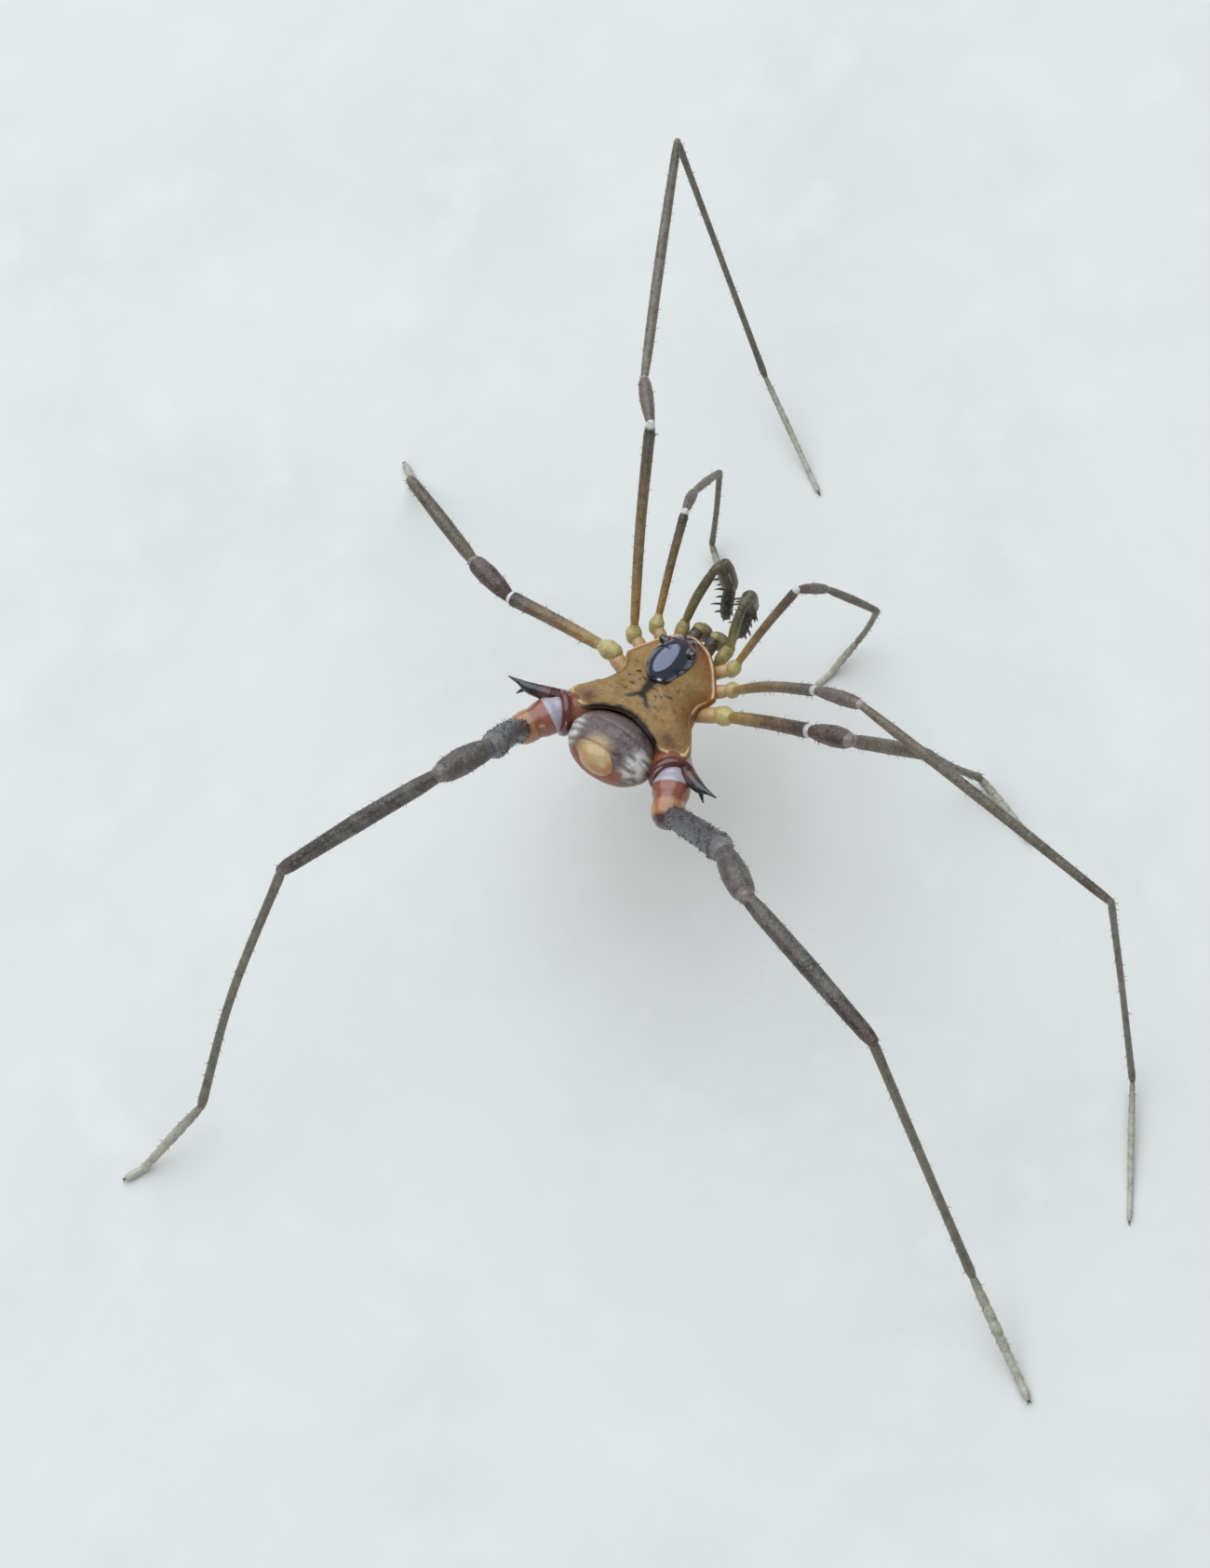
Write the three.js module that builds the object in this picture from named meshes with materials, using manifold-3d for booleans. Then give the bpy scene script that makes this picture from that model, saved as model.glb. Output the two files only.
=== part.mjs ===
// A long-legged armoured harvestman, whole and still, standing on its eight feet.
// Millimetres, +Z up, head toward +Y, the animal's right side toward +X.
import * as THREE from 'three';
import { mergeVertices } from 'three/addons/utils/BufferGeometryUtils.js';
import Module from 'manifold-3d';

const wasm = await Module();
wasm.setup();

// Stance
const BODY_HEIGHT = 7.2; // floor to the level of the hips
const BODY_PITCH = -6; // degrees, nose down
const GAP = 0.3; // between pieces that meet
const FOOT_LENGTH = 0.7; // stretch of each tarsus that lies on the floor
const FOOT_AXIS = 0.18; // height of that stretch's middle
const HEEL_OVERLAP = 0.12; // how far shaft and foot run into each other
const TOE_TAPER = 0.6; // toe's radius as a share of the heel's
const LIMB_SIDES = 8;
const DOME_SIDES = 20; // flat faces round the abdomen, the belly and the eyes' mound
const DOME_RINGS = 12;
const CUT_ALLOWANCE = 0.01; // how far a limb runs past the plane that trims it
const MITRE_LIMIT = 2; // longest such run, as a share of the limb's radius

// Legs: hips are in the body's own frame, one leg of each pair, on the right side.
// Sweep turns a segment forward from straight out to the side, rise lifts it from level, in degrees.
// Segments run femur, patella, tibia, metatarsus, tarsus; the last one's rise follows from the floor.
// Radii are given at the root, the middle and the tip of each segment.
const LEGS = [
  {
    number: 1,
    coxa: { root: [0.75, 2.1, -0.75], radii: [0.24, 0.29, 0.33], sides: 8 },
    trochanter: { at: [1.95, 3.0, 0], radius: 0.35 },
    lengths: [4.8, 1.7, 3.4, 5.2, 2.6],
    radii: [
      [0.26, 0.3, 0.27],
      [0.25, 0.32, 0.26],
      [0.25, 0.28, 0.25],
      [0.25, 0.25, 0.25],
      [0.25, 0.26, 0.25],
    ],
    left: { sweep: [77, 63, 71, -71, -139], rise: [27, -36, -50, -73] },
    right: { sweep: [65, 62, 43, -177, -106], rise: [41, -48, -61, -70] },
  },
  {
    number: 2,
    coxa: { root: [0.95, 1.35, -0.8], radii: [0.24, 0.3, 0.34], sides: 8 },
    trochanter: { at: [2.5, 2.15, 0], radius: 0.36 },
    lengths: [9.4, 2.3, 12.1, 12.0, 5.6],
    radii: [
      [0.27, 0.28, 0.26],
      [0.25, 0.33, 0.27],
      [0.26, 0.27, 0.25],
      [0.25, 0.25, 0.25],
      [0.25, 0.25, 0.25],
    ],
    left: { sweep: [74, 46, 60, -143, -147], rise: [48, -11, -8, -59] },
    right: { sweep: [-3, 4, -5, -61, -59], rise: [52, 22, -15, -74] },
  },
  {
    number: 3,
    coxa: { root: [1.05, 0.45, -0.85], radii: [0.3, 0.36, 0.4], sides: 8 },
    trochanter: { at: [2.9, 1.0, 0], radius: 0.45 },
    lengths: [5.1, 2.2, 4.4, 7.0, 3.4],
    radii: [
      [0.29, 0.33, 0.31],
      [0.28, 0.44, 0.33],
      [0.3, 0.33, 0.26],
      [0.25, 0.25, 0.25],
      [0.25, 0.27, 0.25],
    ],
    left: { sweep: [-2, 13, 19, 28, 30], rise: [0, 8, 14, -64] },
    right: { sweep: [8, 5, 47, 89, -19], rise: [29, 29, -51, -73] },
  },
  {
    number: 4,
    coxa: { root: [1.35, -1.0, -0.75], end: [2.85, -2.5, 0.15], radii: [0.7, 0.92, 0.93], sides: 12 },
    globe: { at: [3.13, -2.93, 0.25], radius: 0.8 },
    trochanter: { at: [3.65, -3.9, 0.25], radius: 0.66 },
    lengths: [6.4, 2.7, 7.7, 13.0, 5.2],
    radii: [
      [0.44, 0.6, 0.52],
      [0.38, 0.56, 0.42],
      [0.38, 0.4, 0.28],
      [0.25, 0.25, 0.25],
      [0.25, 0.28, 0.25],
    ],
    left: { sweep: [-127, -75, -56, -82, -63], rise: [61, 27, -17, -48] },
    right: { sweep: [-14, -31, -17, -35, -33], rise: [44, 20, -1, -60] },
  },
];
const SEGMENTS = ['femur', 'patella', 'tibia', 'metatarsus', 'tarsus'];
const FEMUR_SEAT = 0.8; // share of the trochanter's radius where the femur is seated

// Forked spine on the side of each rear coxa, right side
const SPINE = {
  root: [2.95, -1.95, 0.3],
  fork: [4.3, -2.48, 0.85],
  tips: [[5.2, -2.58, 1.1], [4.7, -2.85, 0.6]],
  radii: [0.36, 0.24, 0.07],
  prongShare: 0.8, // of the shaft's radius, where the prongs part
};

// Dorsal shield: right half of its rim from the front middle to the rear middle, as x, y, z
const SHIELD_RIM = [
  [0, 3.2, 0.35],
  [0.75, 3.02, 0.25],
  [1.3, 2.6, 0.15],
  [1.8, 2.0, 0.05],
  [2.2, 1.35, 0.05],
  [1.92, 0.65, 0.1],
  [2.0, 0.05, 0.15],
  [2.5, -0.7, 0.2],
  [2.9, -1.25, 0.45],
  [2.95, -1.65, 0.55],
  [2.5, -1.9, 0.65],
  [1.9, -2.0, 0.85],
  [1.05, -1.65, 1.1],
  [0, -1.42, 1.2],
];
const SHIELD = {
  middle: [0, 0.6],
  crown: 1.3,
  base: -0.5,
  rimThickness: 0.12,
  fall: 2.6, // how late the dome drops to its rim
  tension: 0.4, // of the curve through the rim's points
  steps: 36,
  rings: 10,
};
const GROOVE = { y: 0.6, depth: 0.14, width: 0.35 }; // across the shield behind the eyes' mound

// Soft and rounded parts of the body, as middle and half sizes
const ABDOMEN = { at: [0, -2.7, 0.2], half: [2.0, 1.42, 1.38], bands: 3, bandDepth: 0.03 };
const OPERCULUM = { at: [0, -3.5, 0.65], half: [0.95, 0.62, 0.8] };
const UNDERSIDE = { at: [0, -0.5, -0.95], half: [1.75, 3.25, 0.85] };
const MOUND = { at: [0, 1.6, 0.95], half: [0.88, 1.35, 0.75], tilt: -12 }; // tilt in degrees, nose down
const EYE = { at: [0.66, 2.1, 1.28], radius: 0.26 };

// Mouth parts, right side
const CHELICERA = {
  base: [[0.42, 2.9, -0.5], [0.42, 3.75, -0.2]],
  hand: [[0.42, 3.85, -0.2], [0.4, 4.15, -1.35]],
  fingers: [[0.28, 4.2, -1.95], [0.5, 4.25, -1.9]],
  radii: { base: 0.28, hand: [0.3, 0.38, 0.28], finger: [0.15, 0.06] },
};
const PALP_RADII = {
  base: [0.3, 0.3],
  femur: [0.25, 0.27],
  patella: [0.25, 0.27],
  tibia: [0.3, 0.38],
  tarsus: [0.3, 0.25],
};
const PALPS = {
  left: {
    base: [-1.0, 3.1, -0.65],
    trochanter: [-1.15, 3.8, -0.35],
    femur: [-0.75, 5.7, 1.5],
    patella: [-0.6, 6.25, 1.3],
    tibia: [-0.5, 6.2, -0.25],
    tarsus: [-0.45, 5.5, -1.6],
  },
  right: {
    base: [1.0, 3.1, -0.65],
    trochanter: [1.15, 3.8, -0.35],
    femur: [1.0, 5.1, 0.9],
    patella: [0.95, 5.75, 0.85],
    tibia: [0.65, 5.95, -0.65],
    tarsus: [0.5, 5.2, -1.8],
  },
};
const PALP_SPINE = { length: 0.55, radius: 0.13, tip: 0.04, spread: 55, pairs: 3, first: 0.6 };

const FINISH = {
  shield: { color: 0xb97a3a, roughness: 0.45, metalness: 0 },
  mound: { color: 0x2a1512, roughness: 0.15, metalness: 0 },
  eye: { color: 0x050505, roughness: 0.08, metalness: 0 },
  abdomen: { color: 0x8d7468, roughness: 0.55, metalness: 0 },
  operculum: { color: 0xd9ae72, roughness: 0.5, metalness: 0 },
  underside: { color: 0xb98a4e, roughness: 0.55, metalness: 0 },
  mouth: { color: 0x9a8a3c, roughness: 0.5, metalness: 0 },
  paleHip: { color: 0xdcc25a, roughness: 0.45, metalness: 0 },
  redHip: { color: 0x9c3a1c, roughness: 0.35, metalness: 0 },
  yellowLimb: { color: 0xb88a36, roughness: 0.5, metalness: 0 },
  slateLimb: { color: 0x3f3d46, roughness: 0.5, metalness: 0 },
  brownKnee: { color: 0x4a302e, roughness: 0.45, metalness: 0 },
  oliveLimb: { color: 0x4c4632, roughness: 0.55, metalness: 0 },
  paleTarsus: { color: 0x8f8b78, roughness: 0.6, metalness: 0 },
};

const radians = THREE.MathUtils.degToRad;
const vector = (p) => (p.isVector3 ? p : new THREE.Vector3(...p));
const BODY_FRAME = new THREE.Matrix4()
  .makeTranslation(0, 0, BODY_HEIGHT)
  .multiply(new THREE.Matrix4().makeRotationX(radians(BODY_PITCH)));
const mirrored = (p, side) => [side * p[0], p[1], p[2]];
const inBody = (p, side = 1) => vector(mirrored(p, side)).applyMatrix4(BODY_FRAME);

// A closed three.js geometry as a solid that can be joined and cut
function solid(geometry) {
  const bare = geometry.clone();
  bare.deleteAttribute('normal');
  bare.deleteAttribute('uv');
  const merged = mergeVertices(bare, 1e-4);
  const mesh = new wasm.Mesh({
    numProp: 3,
    vertProperties: merged.attributes.position.array,
    triVerts: new Uint32Array(merged.index.array),
  });
  return new wasm.Manifold(mesh);
}

function largest(body) {
  return body.decompose().reduce((a, b) => (b.volume() > a.volume() ? b : a));
}

function join(...bodies) {
  return bodies.reduce((a, b) => a.add(b));
}

function cutBy(body, tools) {
  return tools.reduce((a, b) => a.subtract(b), body);
}

// Keeps the side of a plane that its normal points to
function keepBeyond(body, normal, point) {
  return body.trimByPlane(normal.toArray(), normal.dot(point));
}

// A round limb from one point to another, with its radii spread evenly along it
function limb(from, to, radii, { rings = 4, sides = LIMB_SIDES, extend = [0, 0] } = {}) {
  const start = vector(from);
  const along = vector(to).clone().sub(start);
  const length = along.length();
  const knots = radii.map((r, i) => new THREE.Vector2(r, (length * i) / (radii.length - 1)));
  const outline = radii.length > 2 ? new THREE.SplineCurve(knots).getPoints(rings) : knots;
  const first = outline[0];
  const last = outline[outline.length - 1];
  if (extend[0] > 0) outline.unshift(new THREE.Vector2(first.x, -extend[0]));
  if (extend[1] > 0) outline.push(new THREE.Vector2(last.x, length + extend[1]));
  const bottom = new THREE.Vector2(0, outline[0].y);
  const top = new THREE.Vector2(0, outline[outline.length - 1].y);
  const turned = new THREE.LatheGeometry([bottom, ...outline, top], sides);
  const turn = new THREE.Quaternion().setFromUnitVectors(new THREE.Vector3(0, 1, 0), along.normalize());
  turned.applyQuaternion(turn);
  turned.translate(start.x, start.y, start.z);
  return solid(turned);
}

function ball(at, radius, grow = 0, sides = LIMB_SIDES) {
  const shape = new THREE.SphereGeometry(radius + grow, sides, sides - 2);
  const centre = vector(at);
  shape.translate(centre.x, centre.y, centre.z);
  return solid(shape);
}

// An ellipsoid of the body, grown where it is used to cut a neighbour
function dome({ at, half, bands = 0, bandDepth = 0 }, grow = 0) {
  const shape = new THREE.SphereGeometry(1, DOME_SIDES, DOME_RINGS);
  const place = shape.attributes.position;
  for (let i = 0; i < place.count; i += 1) {
    const y = place.getY(i);
    const swell = 1 - bandDepth * Math.cos(bands * Math.PI * (y + 1)) ** 2;
    place.setXYZ(
      i,
      at[0] + place.getX(i) * (half[0] + grow) * swell,
      at[1] + y * (half[1] + grow),
      at[2] + place.getZ(i) * (half[2] + grow) * swell,
    );
  }
  shape.applyMatrix4(BODY_FRAME);
  return solid(shape);
}

// Segment directions and joints of one leg, from the trochanter to the toe
function direction(sweep, rise, side) {
  const flat = Math.cos(rise);
  return new THREE.Vector3(side * Math.cos(sweep) * flat, Math.sin(sweep) * flat, Math.sin(rise));
}

function legJoints(leg, side) {
  const pose = side < 0 ? leg.left : leg.right;
  const joints = [inBody(leg.trochanter.at, side)];
  pose.rise.forEach((rise, i) => {
    const step = direction(radians(pose.sweep[i]), radians(rise), side);
    joints.push(joints[i].clone().addScaledVector(step, leg.lengths[i]));
  });
  const ankle = joints[4];
  const shaft = leg.lengths[4] - FOOT_LENGTH;
  const rise = Math.asin((FOOT_AXIS - ankle.z) / shaft);
  const sweep = radians(pose.sweep[4]);
  const heel = ankle.clone().addScaledVector(direction(sweep, rise, side), shaft);
  const toe = heel.clone().addScaledVector(direction(sweep, 0, side), FOOT_LENGTH);
  return [...joints, heel, toe];
}

// Coxa and trochanter, and on the rear pair the forked spine
function hip(leg, side, grow = 0) {
  const { coxa, globe, trochanter } = leg;
  const joint = inBody(trochanter.at, side);
  const end = coxa.end ? inBody(coxa.end, side) : joint;
  const radii = coxa.radii.map((r) => r + grow);
  const shaft = limb(inBody(coxa.root, side), end, radii, { sides: coxa.sides, rings: 3, extend: [grow, 0] });
  const parts = [shaft, ball(joint, trochanter.radius, grow, coxa.sides)];
  if (globe) parts.push(...rearTrochanter(globe, joint, trochanter.radius, coxa.sides, side, grow));
  if (leg.number === 4) parts.push(forkedSpine(side, grow));
  return join(...parts);
}

// The rear trochanter is a globe with a neck that leads back to the femur
function rearTrochanter(globe, joint, neckRadius, sides, side, grow) {
  const middle = inBody(globe.at, side);
  const neck = limb(middle, joint, [neckRadius + grow, neckRadius + grow], { sides });
  return [ball(middle, globe.radius, grow, sides), neck];
}

function forkedSpine(side, grow) {
  const [root, fork, ...tips] = [SPINE.root, SPINE.fork, ...SPINE.tips].map((p) => inBody(p, side));
  const [thick, middle, fine] = SPINE.radii.map((r) => r + grow);
  const shaft = limb(root, fork, [thick, middle]);
  const prongs = tips.map((tip) => limb(fork, tip, [middle * SPINE.prongShare, fine], { extend: [0, grow] }));
  return join(shaft, ball(fork, middle), ...prongs);
}

// How far past its joint a limb runs, to fill a bend whose plane has this normal
function mitreReach(face, along, radius) {
  const reach = radius * Math.tan(Math.acos(face.dot(along)));
  return Math.min(reach, MITRE_LIMIT * radius) + CUT_ALLOWANCE;
}

// Cuts a straight segment at the planes that halve its bends, so that it meets its neighbours face to face
function segment(joints, radii, i) {
  const here = joints[i + 1].clone().sub(joints[i]).normalize();
  const before = i > 0 ? joints[i].clone().sub(joints[i - 1]).normalize() : here;
  const after = joints[i + 2] ? joints[i + 2].clone().sub(joints[i + 1]).normalize() : here;
  const startFace = before.add(here).normalize();
  const endFace = after.add(here).normalize();
  const lastRadius = radii[radii.length - 1];
  const extend = [i > 0 ? mitreReach(startFace, here, radii[0]) : 0, mitreReach(endFace, here, lastRadius)];
  let body = limb(joints[i], joints[i + 1], radii, { extend });
  const startPoint = joints[i].clone().addScaledVector(startFace, GAP / 2);
  const endPoint = joints[i + 1].clone().addScaledVector(endFace, -GAP / 2);
  if (i > 0) body = keepBeyond(body, startFace, startPoint);
  return keepBeyond(body, endFace.negate(), endPoint);
}

// The tarsus has a straight shaft and a short foot whose sole lies flat on the floor
function tarsus(joints, radii) {
  const [shin, ankle, heel, toe] = joints.slice(3);
  const along = heel.clone().sub(ankle).normalize();
  const face = ankle.clone().sub(shin).normalize().add(along).normalize();
  const reach = mitreReach(face, along, radii[0]);
  const shaft = limb(ankle, heel, radii, { rings: 3, extend: [reach, HEEL_OVERLAP] });
  const cut = keepBeyond(shaft, face, ankle.clone().addScaledVector(face, GAP / 2));
  const foot = limb(heel, toe, [radii[2], radii[2] * TOE_TAPER], { extend: [HEEL_OVERLAP, 0] });
  return keepBeyond(join(cut, foot), new THREE.Vector3(0, 0, 1), new THREE.Vector3());
}

function legPieces(leg, side) {
  const joints = legJoints(leg, side);
  const out = joints[1].clone().sub(joints[0]).normalize();
  const seat = joints[0].clone().addScaledVector(out, leg.trochanter.radius * FEMUR_SEAT);
  const hipEnd = seat.clone().addScaledVector(out, -GAP / 2);
  const pieces = { hip: keepBeyond(hip(leg, side), out.clone().negate(), hipEnd) };
  const chain = [seat.clone().addScaledVector(out, GAP / 2), ...joints.slice(1)];
  SEGMENTS.slice(0, 4).forEach((name, i) => {
    pieces[name] = segment(chain, leg.radii[i], i);
  });
  pieces.tarsus = tarsus(joints, leg.radii[4]);
  return pieces;
}

// The shield is a dome over its rim, with a shallow groove across it
function shield(grow = 0) {
  const half = SHIELD_RIM.map((p) => vector(p));
  const other = half.slice(1, -1).reverse().map((p) => new THREE.Vector3(-p.x, p.y, p.z));
  const rim = new THREE.CatmullRomCurve3([...half, ...other], true, 'catmullrom', SHIELD.tension);
  const shape = new THREE.SphereGeometry(1, SHIELD.steps, SHIELD.rings);
  const place = shape.attributes.position;
  const middle = new THREE.Vector3(SHIELD.middle[0], SHIELD.middle[1], 0);
  for (let i = 0; i < place.count; i += 1) {
    const height = place.getY(i);
    const spread = Math.hypot(place.getX(i), place.getZ(i));
    const turn = Math.atan2(place.getX(i), -place.getZ(i)) / (2 * Math.PI);
    const edge = rim.getPoint(((turn % 1) + 1) % 1);
    const reach = edge.clone().sub(middle).setZ(0);
    const wide = spread * (1 + grow / reach.length());
    const point = middle.clone().addScaledVector(reach, wide);
    const rise = 1 - spread ** SHIELD.fall;
    const groove = GROOVE.depth * Math.exp(-(((point.y - GROOVE.y) / GROOVE.width) ** 2)) * rise;
    const up = edge.z + (SHIELD.crown - edge.z) * rise - groove + grow;
    const down = edge.z - SHIELD.rimThickness + (SHIELD.base - edge.z) * rise - grow;
    point.z = height > 0 ? up : height < 0 ? down : edge.z;
    place.setXYZ(i, point.x, point.y, point.z);
  }
  shape.applyMatrix4(BODY_FRAME);
  return solid(shape);
}

// The eyes' mound is half an ellipsoid that leans forward with the shield, which has a flat seat for it
const MOUND_FRAME = BODY_FRAME.clone()
  .multiply(new THREE.Matrix4().makeTranslation(...MOUND.at))
  .multiply(new THREE.Matrix4().makeRotationX(radians(MOUND.tilt)));

function moundSeat() {
  const [across, along, high] = MOUND.half;
  const wide = new THREE.CylinderGeometry(1, 1, 2, DOME_SIDES);
  wide.rotateX(Math.PI / 2);
  wide.scale(across + GAP, along + GAP, high);
  wide.translate(0, 0, high - GAP);
  wide.applyMatrix4(MOUND_FRAME);
  return solid(wide);
}

function mound() {
  const up = new THREE.Vector3(0, 0, 1).transformDirection(MOUND_FRAME);
  const whole = new THREE.SphereGeometry(1, DOME_SIDES, DOME_RINGS);
  whole.scale(...MOUND.half);
  whole.applyMatrix4(MOUND_FRAME);
  const seated = keepBeyond(solid(whole), up, new THREE.Vector3().applyMatrix4(MOUND_FRAME));
  const sockets = [-1, 1].map((side) => ball(inBody(EYE.at, side), EYE.radius, GAP));
  return cutBy(seated, sockets);
}

function chelicera(side, grow = 0) {
  const { base, hand, fingers, radii } = CHELICERA;
  const placed = (p) => inBody(p, side);
  const wide = (r) => r + grow;
  const upper = limb(placed(base[0]), placed(base[1]), [radii.base, radii.base].map(wide));
  const lower = limb(placed(hand[0]), placed(hand[1]), radii.hand.map(wide), { rings: 4 });
  const tips = fingers.map((tip) => limb(placed(hand[1]), placed(tip), radii.finger.map(wide), { sides: 6 }));
  return join(upper, ball(placed(base[1]), wide(radii.base)), lower, ...tips);
}

// A raptorial palp, with pairs of spines under its last two segments
function palp(name, grow = 0) {
  const chain = Object.entries(PALPS[name]).map(([part, p]) => [part, inBody(p)]);
  const parts = [];
  chain.slice(1).forEach(([part, end], i) => {
    const key = part === 'trochanter' ? 'base' : part;
    const radii = PALP_RADII[key].map((r) => r + grow);
    parts.push(limb(chain[i][1], end, radii, { sides: 7 }), ball(end, radii[1], 0, 7));
    if (part === 'tibia' || part === 'tarsus') parts.push(...palpSpines(chain[i][1], end, radii[1], grow));
  });
  return join(...parts);
}

function palpSpines(from, to, thick, grow) {
  const along = to.clone().sub(from);
  const behind = new THREE.Vector3(0, -1, 0);
  const inner = behind.addScaledVector(along, -behind.dot(along) / along.lengthSq()).normalize();
  const axis = along.clone().normalize();
  const spines = [];
  for (let pair = 0; pair < PALP_SPINE.pairs; pair += 1) {
    const root = from.clone().addScaledVector(along, (pair + PALP_SPINE.first) / PALP_SPINE.pairs);
    [-1, 1].forEach((turn) => {
      const out = inner.clone().applyAxisAngle(axis, radians(turn * PALP_SPINE.spread));
      const tip = root.clone().addScaledVector(out, thick + PALP_SPINE.length);
      spines.push(limb(root, tip, [PALP_SPINE.radius + grow, PALP_SPINE.tip + grow], { sides: 5 }));
    });
  }
  return spines;
}

function mesh(name, body, finish) {
  const { numProp, vertProperties, triVerts } = largest(body).getMesh();
  const geometry = new THREE.BufferGeometry();
  const positions = new Float32Array((vertProperties.length / numProp) * 3);
  for (let i = 0; i < positions.length / 3; i += 1) {
    positions.set(vertProperties.subarray(i * numProp, i * numProp + 3), i * 3);
  }
  geometry.setAttribute('position', new THREE.BufferAttribute(positions, 3));
  geometry.setIndex(new THREE.BufferAttribute(triVerts, 1));
  geometry.computeVertexNormals();
  const piece = new THREE.Mesh(geometry, new THREE.MeshStandardMaterial(finish));
  piece.name = name;
  return piece;
}

const LIMB_FINISH = {
  hip: (number) => (number === 4 ? FINISH.redHip : FINISH.paleHip),
  femur: (number) => (number === 4 ? FINISH.slateLimb : FINISH.yellowLimb),
  patella: () => FINISH.brownKnee,
  tibia: () => FINISH.oliveLimb,
  metatarsus: () => FINISH.oliveLimb,
  tarsus: () => FINISH.paleTarsus,
};

function buildLegs() {
  const group = new THREE.Group();
  for (const leg of LEGS) {
    for (const [sideName, side] of [['left', -1], ['right', 1]]) {
      for (const [part, body] of Object.entries(legPieces(leg, side))) {
        group.add(mesh(`${part}_${sideName}_${leg.number}`, body, LIMB_FINISH[part](leg.number)));
      }
    }
  }
  return group;
}

function buildBody() {
  const group = new THREE.Group();
  const hips = LEGS.flatMap((leg) => [-1, 1].map((side) => hip(leg, side, GAP)));
  const mouth = [chelicera(-1, GAP), chelicera(1, GAP), palp('left', GAP), palp('right', GAP)];
  const grownShield = shield(GAP);
  const abdomen = cutBy(dome(ABDOMEN), [...hips, grownShield, dome(OPERCULUM, GAP)]);
  const around = [...hips, ...mouth, grownShield, dome(ABDOMEN, GAP), dome(OPERCULUM, GAP)];
  const belly = cutBy(dome(UNDERSIDE), around);
  group.add(mesh('dorsal_scutum', cutBy(shield(), [...hips, ...mouth, moundSeat()]), FINISH.shield));
  group.add(mesh('ocularium', mound(), FINISH.mound));
  group.add(mesh('eye_left', ball(inBody(EYE.at, -1), EYE.radius), FINISH.eye));
  group.add(mesh('eye_right', ball(inBody(EYE.at), EYE.radius), FINISH.eye));
  group.add(mesh('free_tergites', abdomen, FINISH.abdomen));
  group.add(mesh('anal_operculum', cutBy(dome(OPERCULUM), hips), FINISH.operculum));
  group.add(mesh('underside', belly, FINISH.underside));
  group.add(mesh('chelicera_left', chelicera(-1), FINISH.mouth));
  group.add(mesh('chelicera_right', chelicera(1), FINISH.mouth));
  group.add(mesh('pedipalp_left', palp('left'), FINISH.mouth));
  group.add(mesh('pedipalp_right', palp('right'), FINISH.mouth));
  return group;
}

const group = new THREE.Group();
group.add(buildBody(), buildLegs());

// The origin is on the floor, under the middle of the whole animal's box
const box = new THREE.Box3().setFromObject(group, true);
const middle = box.getCenter(new THREE.Vector3());
group.position.set(-middle.x, -middle.y, 0);

export default group;
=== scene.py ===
# A harvestman at life size, standing still: shell, eyes, soft abdomen, mouth parts and eight legs.
import math

import bmesh
import bpy
import numpy as np
from mathutils import Matrix, Vector, noise


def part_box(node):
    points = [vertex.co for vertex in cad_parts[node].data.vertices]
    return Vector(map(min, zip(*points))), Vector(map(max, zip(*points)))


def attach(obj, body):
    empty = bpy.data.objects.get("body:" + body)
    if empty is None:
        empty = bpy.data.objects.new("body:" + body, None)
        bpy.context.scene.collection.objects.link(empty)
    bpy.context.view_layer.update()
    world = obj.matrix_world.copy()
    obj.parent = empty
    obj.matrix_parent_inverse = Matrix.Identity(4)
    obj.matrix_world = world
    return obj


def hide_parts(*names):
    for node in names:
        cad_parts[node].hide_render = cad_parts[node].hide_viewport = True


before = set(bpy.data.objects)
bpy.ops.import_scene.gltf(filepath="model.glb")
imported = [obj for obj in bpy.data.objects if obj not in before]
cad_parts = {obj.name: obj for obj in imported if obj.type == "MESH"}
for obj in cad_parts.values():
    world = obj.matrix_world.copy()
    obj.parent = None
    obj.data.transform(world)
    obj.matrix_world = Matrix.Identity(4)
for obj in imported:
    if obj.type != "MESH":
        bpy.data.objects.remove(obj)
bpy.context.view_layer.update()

# Sizes are millimetres in the animal's own place; the frame is in metres
MM = 0.001
BODY_HEIGHT = 7.2
BODY_PITCH = -6.0
EYE_AT = (0.66, 2.1, 1.28)

# The photograph's view, worked out from the legs' joints: three angles in degrees, then millimetres
VIEW = {"turn": 61.5, "height": 64.9, "roll": -28.4, "across": -3.37, "up": -0.68, "distance": 176.8}
LENS_MM = 96.14

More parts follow.
